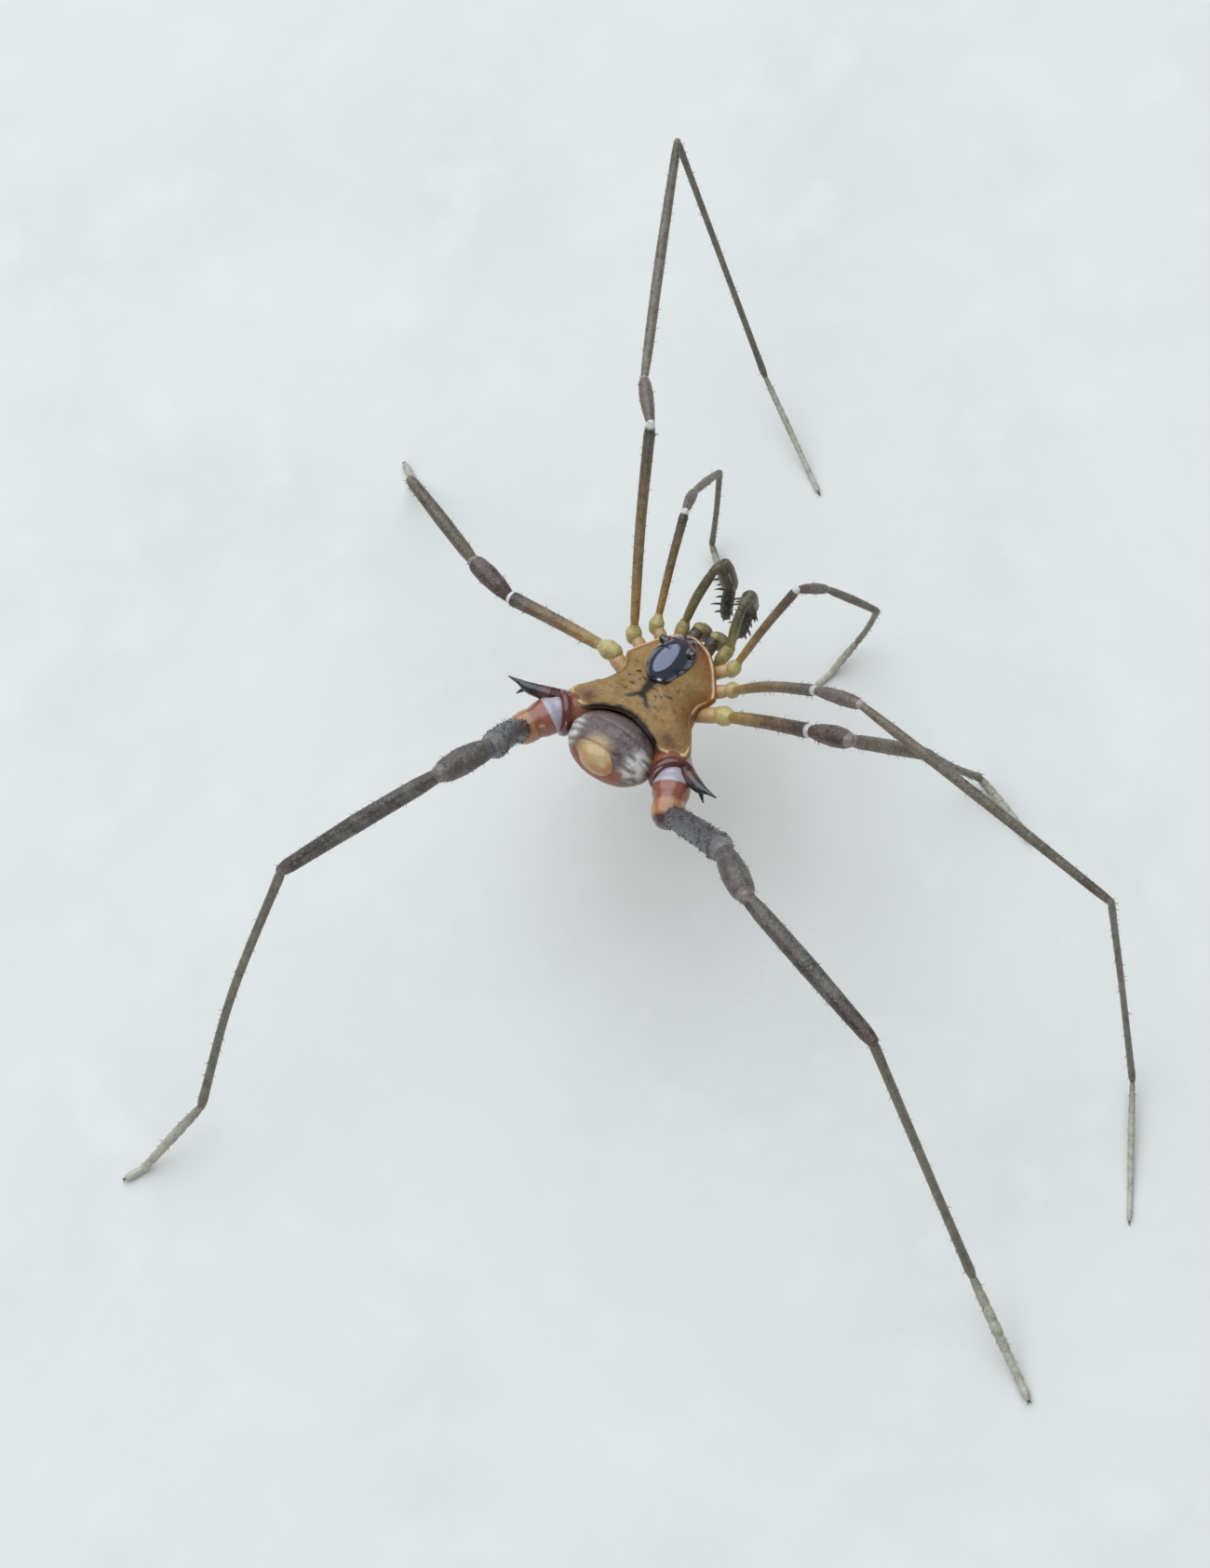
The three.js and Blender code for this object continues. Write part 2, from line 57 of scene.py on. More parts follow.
# Legs: the same joints as the solids, with each segment's real half thickness
# Each side has its segments' sweeps forward from straight out, then their rises, in degrees
FOOT_LENGTH = 0.7
SOLE_SHARE = 1.12  # least height of a tarsus's middle line, as a share of the foot's half thickness
FEMUR_SEAT = 0.8  # where a femur starts, in radii out from the trochanter's middle
LEGS = {
    1: {
        "coxa": (0.75, 2.1, -0.75), "coxa_radii": (0.22, 0.27, 0.31),
        "trochanter": (1.95, 3.0, 0.0), "trochanter_radius": 0.33,
        "lengths": (4.8, 1.7, 3.4, 5.2, 2.6), "radii": (0.18, 0.22, 0.17, 0.13, 0.15), "foot": 0.13,
        "left": ((77, 63, 71, -71, -139), (27, -36, -50, -73)),
        "right": ((65, 62, 43, -177, -106), (41, -48, -61, -70)), "articles": 6, "claws": 1,
    },
    2: {
        "coxa": (0.95, 1.35, -0.8), "coxa_radii": (0.23, 0.29, 0.32),
        "trochanter": (2.5, 2.15, 0.0), "trochanter_radius": 0.35,
        "lengths": (9.4, 2.3, 12.1, 12.0, 5.6), "radii": (0.22, 0.28, 0.21, 0.14, 0.13), "foot": 0.11,
        "left": ((74, 46, 60, -143, -147), (48, -11, -8, -59)),
        "right": ((-3, 4, -5, -61, -59), (52, 22, -15, -74)), "articles": 12, "claws": 1,
    },
    3: {
        "coxa": (1.05, 0.45, -0.85), "coxa_radii": (0.28, 0.34, 0.38),
        "trochanter": (2.9, 1.0, 0.0), "trochanter_radius": 0.43,
        "lengths": (5.1, 2.2, 4.4, 7.0, 3.4), "radii": (0.29, 0.42, 0.29, 0.17, 0.19), "foot": 0.16,
        "left": ((-2, 13, 19, 28, 30), (0, 8, 14, -64)),
        "right": ((8, 5, 47, 89, -19), (29, 29, -51, -73)), "articles": 7, "claws": 2,
    },
    4: {
        "coxa": (1.35, -1.0, -0.75), "coxa_end": (2.85, -2.5, 0.15), "coxa_radii": (0.68, 0.9, 0.92),
        "globe": (3.13, -2.93, 0.25), "trochanter": (3.65, -3.9, 0.25), "trochanter_radius": 0.66,
        "lengths": (6.4, 2.7, 7.7, 13.0, 5.2), "radii": (0.52, 0.53, 0.36, 0.19, 0.2), "foot": 0.17,
        "left": ((-127, -75, -56, -82, -63), (61, 27, -17, -48)),
        "right": ((-14, -31, -17, -35, -33), (44, 20, -1, -60)), "articles": 8, "claws": 2,
    },
}
SEGMENTS = ("femur", "patella", "tibia", "metatarsus", "tarsus")
# Half thickness along a segment, as share of its length and share of its radius
OUTLINES = {
    "femur": ((0, 0.66), (0.05, 0.86), (0.2, 0.95), (0.6, 1.0), (0.88, 1.07), (0.95, 1.1), (1, 0.82)),
    "patella": ((0, 0.6), (0.07, 0.7), (0.28, 0.92), (0.6, 1.06), (0.85, 0.96), (0.94, 0.84), (1, 0.66)),
    "tibia": ((0, 0.72), (0.04, 0.84), (0.14, 1.0), (0.5, 1.05), (0.85, 0.9), (0.96, 0.86), (1, 0.7)),
    "metatarsus": ((0, 0.8), (0.03, 1.1), (0.12, 1.0), (0.6, 0.93), (0.9, 1.0), (0.97, 1.12), (1, 0.85)),
    "tarsus": ((0, 0.72), (0.1, 0.98), (0.4, 1.12)),
}
FOOT_OUTLINE = ((0.7, 1.1), (1, 1.0))  # the rest of a tarsus, with shares of the foot's half thickness
SEGMENT_RINGS, SEGMENT_SIDES = 36, 20
TARSUS_RINGS, TARSUS_SIDES, TARSUS_WAIST = 96, 14, 0.16
# How far a segment's middle is raised, as a share of its length
BOW = {"femur": 0.025, "patella": 0.03, "tibia": 0.012, "metatarsus": -0.01}
REAR_SHIN_BOW = 0.04
# A claw's outline: distance along it and half thickness
CLAW_OUTLINE = ((0, 0.045), (0.12, 0.035), (0.24, 0.012))
CLAW_TIP_HEIGHT = 0.05

HIP_SIDES, REAR_HIP_SIDES, COXA_ARCH = 24, 40, 0.06
HIP_BEAD = ((0, 0.88), (0.35, 1.0), (0.6, 0.92), (0.8, 0.74), (0.9, 0.66), (1, 0.56))
# The rear trochanter's outline: distance from the globe's middle and half thickness
REAR_TROCHANTER = (
    (-0.45, 0.66), (-0.2, 0.77), (0, 0.79), (0.3, 0.76), (0.52, 0.69), (0.6, 0.665), (0.7, 0.68),
    (1.0, 0.7), (1.25, 0.66), (1.42, 0.58), (1.55, 0.47),
)
SPINE = {
    "root": (2.95, -1.95, 0.3), "fork": (4.3, -2.48, 0.85),
    "tips": ((5.2, -2.58, 1.1), (4.7, -2.85, 0.6)), "radii": (0.4, 0.25, 0.17, 0.035),
    "sides": 16,
}

# Right half of the shield's rim from the front middle to the rear middle
SHIELD_RIM = (
    (0, 3.2, 0.35), (0.75, 3.02, 0.25), (1.3, 2.6, 0.15), (1.8, 2.0, 0.05), (2.2, 1.35, 0.05),
    (1.92, 0.65, 0.1), (2.0, 0.05, 0.15), (2.5, -0.7, 0.2), (2.9, -1.25, 0.45), (2.95, -1.65, 0.55),
    (2.5, -1.9, 0.65), (1.9, -2.0, 0.85), (1.05, -1.65, 1.1), (0, -1.42, 1.2),
)
SHIELD = {"middle": (0.0, 0.6), "crown": 1.3, "base": -0.5, "fall": 2.6, "tension": 0.4, "rim_depth": 0.12}
SHIELD_SIDES, SHIELD_STEPS = 288, 64
# Grooves across the shield: place along the body, depth and width
SHIELD_GROOVES = ((0.6, 0.14, 0.3), (0.05, 0.035, 0.07), (-0.42, 0.03, 0.06), (-0.95, 0.025, 0.06))
# Ridges round its rim: height, share of the way out and width
SHIELD_RIDGES = ((0.07, 0.97, 0.02), (-0.03, 0.9, 0.03))
ABDOMEN = {"at": (0.0, -2.7, 0.2), "half": (2.0, 1.42, 1.38)}
OPERCULUM = {"at": (0.0, -3.5, 0.65), "half": (0.95, 0.62, 0.8)}
UNDERSIDE = {"at": (0.0, -0.5, -0.95), "half": (1.75, 3.25, 0.85)}
MOUND = {"at": (0.0, 1.6, 0.95), "half": (0.88, 1.35, 0.75), "tilt": -12.0}
DOME_SIDES, DOME_STEPS = 96, 64
ABDOMEN_FOLDS = (0.35, -0.05, -0.42)
BELLY_CREASES = (-0.2, -0.42, -0.6, -0.76, -0.88)
EYE_RADIUS, EYE_SIDES = 0.26, 32
EYE_OUTLINE = ((0, 0.8), (0.3, 1.0), (0.62, 1.0), (0.74, 0.9), (0.8, 0.78), (1, 0.72))

CHELICERA = {
    "base": ((0.42, 2.9, -0.5), (0.42, 3.75, -0.2)), "hand": ((0.42, 3.85, -0.2), (0.4, 4.15, -1.35)),
    "fingers": ((0.28, 4.2, -1.95), (0.5, 4.25, -1.9)), "base_radius": 0.27, "hand_radius": 0.36,
    "finger_radius": 0.13,
}
CHELICERA_OUTLINES = {
    "base": ((0, 0.8), (0.3, 1.0), (0.8, 1.05), (1, 0.9)),
    "hand": ((0, 0.75), (0.3, 1.0), (0.6, 1.05), (0.9, 0.8), (1, 0.6)),
    "finger": ((0, 1), (0.6, 0.75), (1, 0.3)),
}
PALPS = {
    "left": ((-1.0, 3.1, -0.65), (-1.15, 3.8, -0.35), (-0.75, 5.7, 1.5), (-0.6, 6.25, 1.3),
             (-0.5, 6.2, -0.25), (-0.45, 5.5, -1.6)),
    "right": ((1.0, 3.1, -0.65), (1.15, 3.8, -0.35), (1.0, 5.1, 0.9), (0.95, 5.75, 0.85),
              (0.65, 5.95, -0.65), (0.5, 5.2, -1.8)),
}
PALP_RADII = (0.28, 0.2, 0.24, 0.36, 0.27)
PALP_BOWS = (0.04, 0.06, 0.04, 0.04, 0.04)
PALP_OUTLINE = ((0, 0.75), (0.15, 0.95), (0.5, 1.05), (0.85, 1.0), (1, 0.8))
PALP_SPINE = {"length": 0.4, "radius": 0.055, "spread": 55.0, "pairs": 4, "short": 0.62, "first_segment": 3}
PALP_SPINE_OUTLINE = ((0, 1.6), (0.2, 1.1), (0.7, 0.8), (1, 0.25))

# Scattered coats: how many pieces for each square millimetre, their length and their thickness
BRISTLE_COAT = (6.0, 0.17, 0.012)
BRISTLE_LEAN = 0.7  # how far bristles lean towards the foot, against 1 for straight off the skin
TUBERCLE_COAT = (4.0, 0.06, 0.045)
RIM_COAT = (7.0, 0.03, 0.035)
DISC_COAT = (2.6, 0.035, 0.045)
COAT_SIZES = (0.55, 1.15)  # smallest and largest scale of a scattered piece
BARE_BELOW = (0.25, 0.6)  # heights over the floor between which the coats set in

# Lights: the way to each along the camera's back, up and right, distance and size in metres, watts, colour
LIGHTS = {
    "sky_panel": ((0.6, 0.75, -0.3), 0.96, 1.86, 16.6, (0.88, 0.93, 1.0)),
    "rear_fill": ((0.6, -0.8, -0.3), 0.7, 0.3, 0.8, (1.0, 0.98, 0.95)),
}
WORLD_COLOUR, WORLD_STRENGTH = (0.9, 0.93, 0.95, 1), 0.34
FLOOR_HALF = 3.0
BAND_EDGE = 0.02  # share of a limb's length over which its end band sets in
SIDES = (("left", -1), ("right", 1))

BODY = Matrix.Translation((0, 0, BODY_HEIGHT)) @ Matrix.Rotation(math.radians(BODY_PITCH), 4, "X")


def in_body(point, side=1):
    return BODY @ Vector((side * point[0], point[1], point[2]))


def frame_shift():
    """How far the frame's origin lies from the animal's own, read from the left eye."""
    low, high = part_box("eye_left")
    eye = (Vector(low) + Vector(high)) / (2 * MM)
    here = in_body(EYE_AT, -1)
    return Vector((eye.x - here.x, eye.y - here.y, 0.0))


SHIFT = frame_shift()


def placed(name, data):
    made = bpy.data.objects.new(name, data)
    bpy.context.scene.collection.objects.link(made)
    return made


# Camera, light and floor

def add_camera():
    turn, height, roll = (math.radians(VIEW[key]) for key in ("turn", "height", "roll"))
    back = Vector((math.sin(turn) * math.cos(height), -math.cos(turn) * math.cos(height), math.sin(height)))
    level = (-back).cross(Vector((0, 0, 1))).normalized()
    rise = level.cross(-back)
    right = math.cos(roll) * level + math.sin(roll) * rise
    up = -math.sin(roll) * level + math.cos(roll) * rise
    place = back * VIEW["distance"] + right * VIEW["across"] + up * VIEW["up"] + SHIFT
    data = bpy.data.cameras.new("photo_view")
    data.lens = LENS_MM
    data.sensor_width = 36.0
    data.clip_start = 0.005
    camera = placed("photo_view", data)
    turned = Matrix((right, up, back)).transposed().to_4x4()
    camera.matrix_world = Matrix.Translation(place * MM) @ turned
    bpy.context.scene.camera = camera
    return right, up, back


def add_light(name, direction, distance, size, energy, colour):
    data = bpy.data.lights.new(name, "AREA")
    data.shape = "DISK"
    data.size = size
    data.energy = energy
    data.color = colour
    light = placed(name, data)
    target = Vector((0, 0, BODY_HEIGHT)) * MM
    light.location = target + direction.normalized() * distance
    light.rotation_euler = direction.to_track_quat("Z", "Y").to_euler()


def set_stage(right, up, back):
    for name, (way, *settings) in LIGHTS.items():
        add_light(name, back * way[0] + up * way[1] + right * way[2], *settings)
    world = bpy.data.worlds.new("studio")
    bpy.context.scene.world = world
    world.use_nodes = True
    glow = world.node_tree.nodes["Background"]
    glow.inputs["Color"].default_value = WORLD_COLOUR
    glow.inputs["Strength"].default_value = WORLD_STRENGTH
    bpy.context.scene.view_settings.view_transform = "Standard"
    mesh = bpy.data.meshes.new("floor")
    corners = [(x * FLOOR_HALF, y * FLOOR_HALF, 0) for x, y in ((-1, -1), (1, -1), (1, 1), (-1, 1))]
    mesh.from_pydata(corners, [], [(0, 1, 2, 3)])
    floor = placed("floor", mesh)
    mesh.materials.append(floor_finish())


# Shader helpers and the effects that materials share

def node(tree, kind, settings=None, **inputs):
    made = tree.nodes.new(kind)
    for key, value in (settings or {}).items():
        setattr(made, key, value)
    for key, value in inputs.items():
        feed(tree, made.inputs[key.replace("_", " ")], value)
    return made


def shade(hexed):
    """A colour as seen on screen, in the linear numbers that a shader takes."""
    parts = [int(hexed[i:i + 2], 16) / 255 for i in (0, 2, 4)]
    return (*[p / 12.92 if p <= 0.04045 else ((p + 0.055) / 1.055) ** 2.4 for p in parts], 1)


def feed(tree, socket, value):
    """Links a socket to another, or sets its value; a string is a colour as seen on screen."""
    if isinstance(value, bpy.types.NodeSocket):
        tree.links.new(value, socket)
    else:
        socket.default_value = shade(value) if isinstance(value, str) else value


def blend(tree, share, first, second):
    mixed = tree.nodes.new("ShaderNodeMix")
    mixed.data_type = "RGBA"
    feed(tree, mixed.inputs[0], share)
    feed(tree, mixed.inputs[6], first)
    feed(tree, mixed.inputs[7], second)
    return mixed.outputs[2]


def step(tree, value, low, high, to_low=0.0, to_high=1.0):
    made = node(tree, "ShaderNodeMapRange", {"interpolation_type": "SMOOTHSTEP"}, Value=value)
    for name, number in (("From Min", low), ("From Max", high), ("To Min", to_low), ("To Max", to_high)):
        feed(tree, made.inputs[name], number)
    return made.outputs["Result"]


def maths(tree, operation, first, second, kind="ShaderNodeMath"):
    made = node(tree, kind, {"operation": operation})
    feed(tree, made.inputs[0], first)
    feed(tree, made.inputs[1], second)
    return made.outputs[0]


def times(tree, first, second):
    return maths(tree, "MULTIPLY", first, second)


def in_millimetres(tree, place):
    made = node(tree, "ShaderNodeVectorMath", {"operation": "SCALE"}, Scale=1 / MM)
    feed(tree, made.inputs[0], place)
    return made.outputs[0]


SOCKETS = {
    "V": "Vector", "F": "Float", "C": "Color", "G": "Geometry", "I": "Int", "S": "String", "M": "Material",
}


def group(name, inputs, outputs, kind="ShaderNodeTree"):
    """A node group with its named inputs and outputs, as seen from inside it."""
    tree = bpy.data.node_groups.new(name, kind)
    for way, labels in (("INPUT", inputs), ("OUTPUT", outputs)):
        for label, letter in labels.items():
            tree.interface.new_socket(label, in_out=way, socket_type="NodeSocket" + SOCKETS[letter])
    return tree, tree.nodes.new("NodeGroupInput").outputs, tree.nodes.new("NodeGroupOutput").inputs


def mottle_group():
    """Cloudy patches of a deeper and a paler tone over a base colour."""
    colours = {"Place": "V", "Base": "C", "Deep": "C", "Pale": "C"}
    shares = {"Size": "F", "Deep share": "F", "Pale share": "F"}
    tree, given, out = group("mottle", {**colours, **shares}, {"Color": "C"})
    place = in_millimetres(tree, given["Place"])
    wide = node(tree, "ShaderNodeTexNoise", Vector=place, Scale=given["Size"], Detail=5.0, Roughness=0.6)
    fine_size = times(tree, given["Size"], 3.7)
    fine = node(tree, "ShaderNodeTexNoise", Vector=place, Scale=fine_size, Detail=3.0, Roughness=0.55)
    dark = times(tree, step(tree, wide.outputs[0], 0.44, 0.66), given["Deep share"])
    light = times(tree, step(tree, fine.outputs[0], 0.5, 0.72), given["Pale share"])
    tinted = blend(tree, dark, given["Base"], given["Deep"])
    feed(tree, out["Color"], blend(tree, light, tinted, given["Pale"]))
    return tree


def grain_group():
    """Height of a finely granular shell: small domes over a shallow wrinkle."""
    tree, given, out = group("grain", {"Place": "V", "Size": "F", "Wrinkle": "F"}, {"Height": "F"})
    place = in_millimetres(tree, given["Place"])
    domes = node(tree, "ShaderNodeTexVoronoi", {"feature": "SMOOTH_F1"}, Vector=place, Scale=given["Size"])
    raised = step(tree, domes.outputs["Distance"], 0.1, 0.65, 1.0, 0.0)
    folds = node(tree, "ShaderNodeTexNoise", Vector=place, Scale=times(tree, given["Size"], 0.35), Detail=4.0)
    extra = times(tree, folds.outputs[0], given["Wrinkle"])
    feed(tree, out["Height"], maths(tree, "ADD", raised, extra))
    return tree


def limb_paint_group():
    """Colours that follow a limb from its root to its tip, with a band where the next segment starts."""
    colours = {"Along": "F", "Root": "C", "Middle": "C", "Tip": "C", "Band": "C"}
    tree, given, out = group("limb_paint", {**colours, "Band start": "F", "Turn": "F"}, {"Color": "C"})
    first = blend(tree, step(tree, given["Along"], 0.0, given["Turn"]), given["Root"], given["Middle"])
    second = blend(tree, step(tree, given["Along"], given["Turn"], 1.0), first, given["Tip"])
    edge = maths(tree, "ADD", given["Band start"], BAND_EDGE)
    band_share = step(tree, given["Along"], given["Band start"], edge)
    feed(tree, out["Color"], blend(tree, band_share, second, given["Band"]))
    return tree


def bloom_group():
    """A thin uneven bloom that dulls and pales a surface."""
    tree, given, out = group("bloom", {"Place": "V", "Color": "C", "Share": "F"}, {"Color": "C", "Mask": "F"})
    place = in_millimetres(tree, given["Place"])
    cloud = node(tree, "ShaderNodeTexNoise", Vector=place, Scale=1.3, Detail=6.0, Roughness=0.7)
    mask = times(tree, step(tree, cloud.outputs[0], 0.4, 0.7), given["Share"])
    feed(tree, out["Color"], blend(tree, mask, given["Color"], (0.46, 0.45, 0.4, 1)))
    feed(tree, out["Mask"], mask)
    return tree


MOTTLE, GRAIN, LIMB_PAINT, BLOOM = mottle_group(), grain_group(), limb_paint_group(), bloom_group()


class Finish:
    """A material being built: its tree, its shader, and the surface's own place."""

    def __init__(self, name, roughness, coat=0.0, coat_roughness=0.2, **more):
        self.material = bpy.data.materials.new(name)
        self.material.use_nodes = True
        self.tree = self.material.node_tree
        self.shader = self.tree.nodes["Principled BSDF"]
        more.update(Roughness=roughness, Coat_Weight=coat, Coat_Roughness=coat_roughness)
        for key, value in more.items():
            self.shader.inputs[key.replace("_", " ")].default_value = value
        self.place = self.tree.nodes.new("ShaderNodeTexCoord").outputs["Object"]

    def use(self, shared, **inputs):
        made = self.tree.nodes.new("ShaderNodeGroup")
        made.node_tree = shared
        for key, value in inputs.items():
            feed(self.tree, made.inputs[key.replace("_", " ")], value)
        return made.outputs

    def mask(self, name):
        return node(self.tree, "ShaderNodeAttribute", {"attribute_name": name}).outputs["Fac"]

    def along(self):
        read = node(self.tree, "ShaderNodeUVMap", {"uv_map": "limb"})
        return node(self.tree, "ShaderNodeSeparateXYZ", Vector=read.outputs[0]).outputs["Y"]

    def mottled(self, base, deep, pale, size, deep_share, pale_share):
        return self.use(MOTTLE, Place=self.place, Base=base, Deep=deep, Pale=pale, Size=size,
                        Deep_share=deep_share, Pale_share=pale_share)["Color"]

    def paint(self, colour, **tones):
        """Lays each tone over the colour where the mask of the same name says."""
        for name, tone in tones.items():
            colour = blend(self.tree, self.mask(name), colour, tone)
        return colour

    def rough(self, size, depth, wrinkle=0.6, strength=0.7):
        height = self.use(GRAIN, Place=self.place, Size=size, Wrinkle=wrinkle)["Height"]
        bump = node(self.tree, "ShaderNodeBump", Height=height, Distance=depth * MM, Strength=strength)
        feed(self.tree, self.shader.inputs["Normal"], bump.outputs[0])

    def done(self, colour, bloom=0.15):
        dusted = self.use(BLOOM, Place=self.place, Color=colour, Share=bloom)
        feed(self.tree, self.shader.inputs["Base Color"], dusted["Color"])
        dull = step(self.tree, dusted["Mask"], 0.0, 1.0, self.shader.inputs["Roughness"].default_value, 0.8)
        feed(self.tree, self.shader.inputs["Roughness"], dull)
        return self.material


def floor_finish():
    made = Finish("studio_floor", 0.85)
    colour = made.mottled("d9dad6", "d2d3cf", "dedfdb", 0.08, 0.6, 0.5)
    feed(made.tree, made.shader.inputs["Base Color"], colour)
    return made.material


def shield_finish():
    made = Finish("tan_shell", 0.5, 0.03, 0.35, Specular_IOR_Level=0.22)
    colour = made.mottled("917240", "7a5a2f", "a68a58", 1.7, 0.5, 0.4)
    # The dark red-brown in the inner rear corners beside the abdomen is painted shade.
    colour = made.paint(colour, margin="935729", front="57291f", corner="46190f", mark="200f0c",
                        # The pale tone along the rim's edge is a painted highlight.
                        rear="1a1010", lip="dcbf92")
    made.rough(7.0, 0.025)
    return made.done(colour, 0.12)


def mound_finish():
    made = Finish("black_mound", 0.14, 0.8, 0.08, IOR=2.1, Specular_Tint=(0.66, 0.76, 1.0, 1),
                  Coat_Tint=(0.85, 0.9, 1.0, 1))
    colour = made.mottled("171214", "0b090b", "241b1e", 2.4, 0.6, 0.4)
    made.rough(5.0, 0.003)
    return made.done(made.paint(colour, front="5e2a22"), 0.0)


def eye_finish():
    made = Finish("eye_black", 0.05, 1.0, 0.03)
    colour = made.mottled("050505", "020202", "0d0b10", 6.0, 0.5, 0.5)
    return made.done(made.paint(colour, orbit="5f3c22"), 0.0)


def abdomen_finish():
    made = Finish("soft_abdomen", 0.42, 0.2, 0.35)
    colour = made.mottled("5f4e4d", "322626", "7c6d6b", 1.6, 0.85, 0.4)
    # The pale flank tone is partly the abdomen's own pale bars and partly, on the right side, a painted
    # reflection.
    colour = made.paint(colour, flank="cfccc8", cream="b79a72", plate="843a20", belly="a89a6c", fold="2e2423")
    made.rough(5.0, 0.03, 1.0)
    return made.done(colour, 0.08)


def operculum_finish():
    made = Finish("cream_plate", 0.36, 0.3, 0.25)
    colour = made.mottled("b98850", "a36c38", "c6a674", 1.2, 0.6, 0.4)
    made.rough(6.0, 0.02)
    return made.done(made.paint(colour, pale="b9a172", plate="74341f", lip="dcc79c"), 0.06)


def under_finish():
    made = Finish("amber_underside", 0.45)
    colour = made.mottled("b58449", "7d4a26", "cfae74", 1.3, 0.7, 0.4)
    made.rough(6.0, 0.02, 0.9)
    return made.done(made.paint(colour, fold="4d2a17"), 0.1)


def front_hip_finish():
    made = Finish("yellow_hip", 0.4, 0.25, 0.2)
    colour = made.mottled("b3a468", "94803f", "cfc79b", 1.8, 0.5, 0.5)
    made.rough(8.0, 0.012)
    return made.done(made.paint(colour, blush="bd9468"), 0.08)


def rear_hip_finish():
    made = Finish("rust_hip", 0.26, 0.6, 0.12)
    colour = made.mottled("7d4426", "552314", "98683c", 1.6, 0.6, 0.4)
    # The pale lilac arc on each rear trochanter is a painted reflection of the sky.
    colour = made.paint(colour, rim="54180f", crescent="a8a2ae", globe="8a4c39", lobe="a5714b",
                        edge="43242b", spine="1b2024")
    made.rough(7.0, 0.012)
    return made.done(colour, 0.05)


def limb_finish(name, root, middle, tip, band_tone, band_start, turn):
    """A limb's colours at its root, middle and tip, and its end band's; turn is where the middle lies."""
    made = Finish(name, 0.42, 0.1, 0.3)
    painted = made.use(LIMB_PAINT, Along=made.along(), Root=root, Middle=middle, Tip=tip,
                       Band=band_tone, Band_start=band_start, Turn=turn)["Color"]
    dark = blend(made.tree, 0.55, painted, (0.01, 0.008, 0.008, 1))
    light = blend(made.tree, 0.35, painted, (0.75, 0.7, 0.6, 1))
    colour = made.mottled(painted, dark, light, 2.4, 0.6, 0.35)
    made.rough(9.0, 0.02)
    return made.done(colour)


def plain_finish(name, base, deep, pale, roughness, coat):
    made = Finish(name, roughness, coat, 0.2)
    colour = made.mottled(base, deep, pale, 1.8, 0.6, 0.4)
    made.rough(8.0, 0.02)
    return made.done(colour, 0.08)


# Each limb's name, its root, middle, tip and end tones, where the end band starts, and where the middle lies
LIMB_TONES = {
    "femur_front": ("amber_femur", "a58344", "775d3b", "43362b", "d2d0cc", 0.97, 0.5),
    "femur_third": ("banded_femur", "a98643", "6c5238", "2f2622", "d8d8dc", 0.945, 0.6),
    "femur_rear": ("slate_femur", "29262e", "404046", "424146", "68666a", 0.96, 0.5),
    "patella": ("plum_patella", "675751", "61524c", "5d5049", "9c8c80", 0.965, 0.5),
    "patella_third": ("red_patella", "4c302a", "4a3530", "4d3b34", "857871", 0.95, 0.5),
    "patella_rear": ("grey_knee", "484240", "4b4440", "544b45", "6f645c", 0.95, 0.5),
    "tibia_front": ("olive_tibia", "6a5d4d", "5e5646", "4e4436", "7c705c", 0.98, 0.5),
    "tibia_rear": ("dark_tibia", "473f37", "3b342b", "33251e", "503a31", 0.98, 0.55),
    "metatarsus": ("thin_shin", "605c4c", "66624f", "5e5a48", "857e69", 0.985, 0.5),
    "tarsus": ("pale_tarsus", "8a8876", "a5a594", "b4b4a6", "a49f8c", 0.99, 0.4),
    "mouth": ("olive_mouth", "a29256", "514829", "332b1a", "40361f", 0.99, 0.4),
}
# Each small piece's name, its three tones, roughness and coat
PLAIN_TONES = {
    "claw": ("horn_claw", "4a3420", "2a1a10", "7a5c3c", 0.3, 0.3),
    "bristle": ("brown_bristle", "3a2f22", "221a12", "5c4c38", 0.5, 0.0),
    "granule": ("shell_granule", "a06c38", "7d4a22", "c09460", 0.3, 0.3),
    "slate_granule": ("slate_granule", "2b2a30", "1c1a20", "4c4b52", 0.35, 0.2),
}
FINISHES = {}


def make_finishes():
    FINISHES.update(
        shield=shield_finish(), mound=mound_finish(), eye=eye_finish(), abdomen=abdomen_finish(),
        operculum=operculum_finish(), under=under_finish(), rear_hip=rear_hip_finish(),
        front_hip=front_hip_finish(),
    )
    FINISHES.update((key, limb_finish(*tones)) for key, tones in LIMB_TONES.items())
    FINISHES.update((key, plain_finish(*tones)) for key, tones in PLAIN_TONES.items())


# Mesh helpers

def skin(name, rings, shares, masks=None):
    """A closed skin over rings of points, with a pole at each end; UV map 'limb' runs round and along it."""
    rings = np.asarray(rings, float)
    count, sides = rings.shape[:2]
    points = np.vstack([rings[0].mean(0), rings.reshape(-1, 3), rings[-1].mean(0)])
    place = (points + np.array(SHIFT)) * MM
    faces, uvs = [], []
    last = len(points) - 1
    for k in range(sides):
        after = (k + 1) % sides
        u, w = k / sides, (k + 1) / sides
        faces.append((0, 1 + after, 1 + k))
        uvs += [(u, shares[0]), (w, shares[0]), (u, shares[0])]
        for i in range(count - 1):
            low, high = 1 + i * sides, 1 + (i + 1) * sides
            faces.append((low + k, low + after, high + after, high + k))
            uvs += [(u, shares[i]), (w, shares[i]), (w, shares[i + 1]), (u, shares[i + 1])]
        top = 1 + (count - 1) * sides
        faces.append((last, top + k, top + after))
        uvs += [(u, shares[-1]), (u, shares[-1]), (w, shares[-1])]
    mesh = bpy.data.meshes.new(name)
    mesh.from_pydata(place.tolist(), [], faces)
    layer = mesh.uv_layers.new(name="limb")
    layer.data.foreach_set("uv", np.array(uvs, np.float32).ravel())
    for label, values in (masks or {}).items():
        flat = np.asarray(values, float).reshape(count, sides)
        set_mask(mesh, label, [[flat[0].mean()], flat.ravel(), [flat[-1].mean()]])
    turn_outward(mesh)
    return mesh


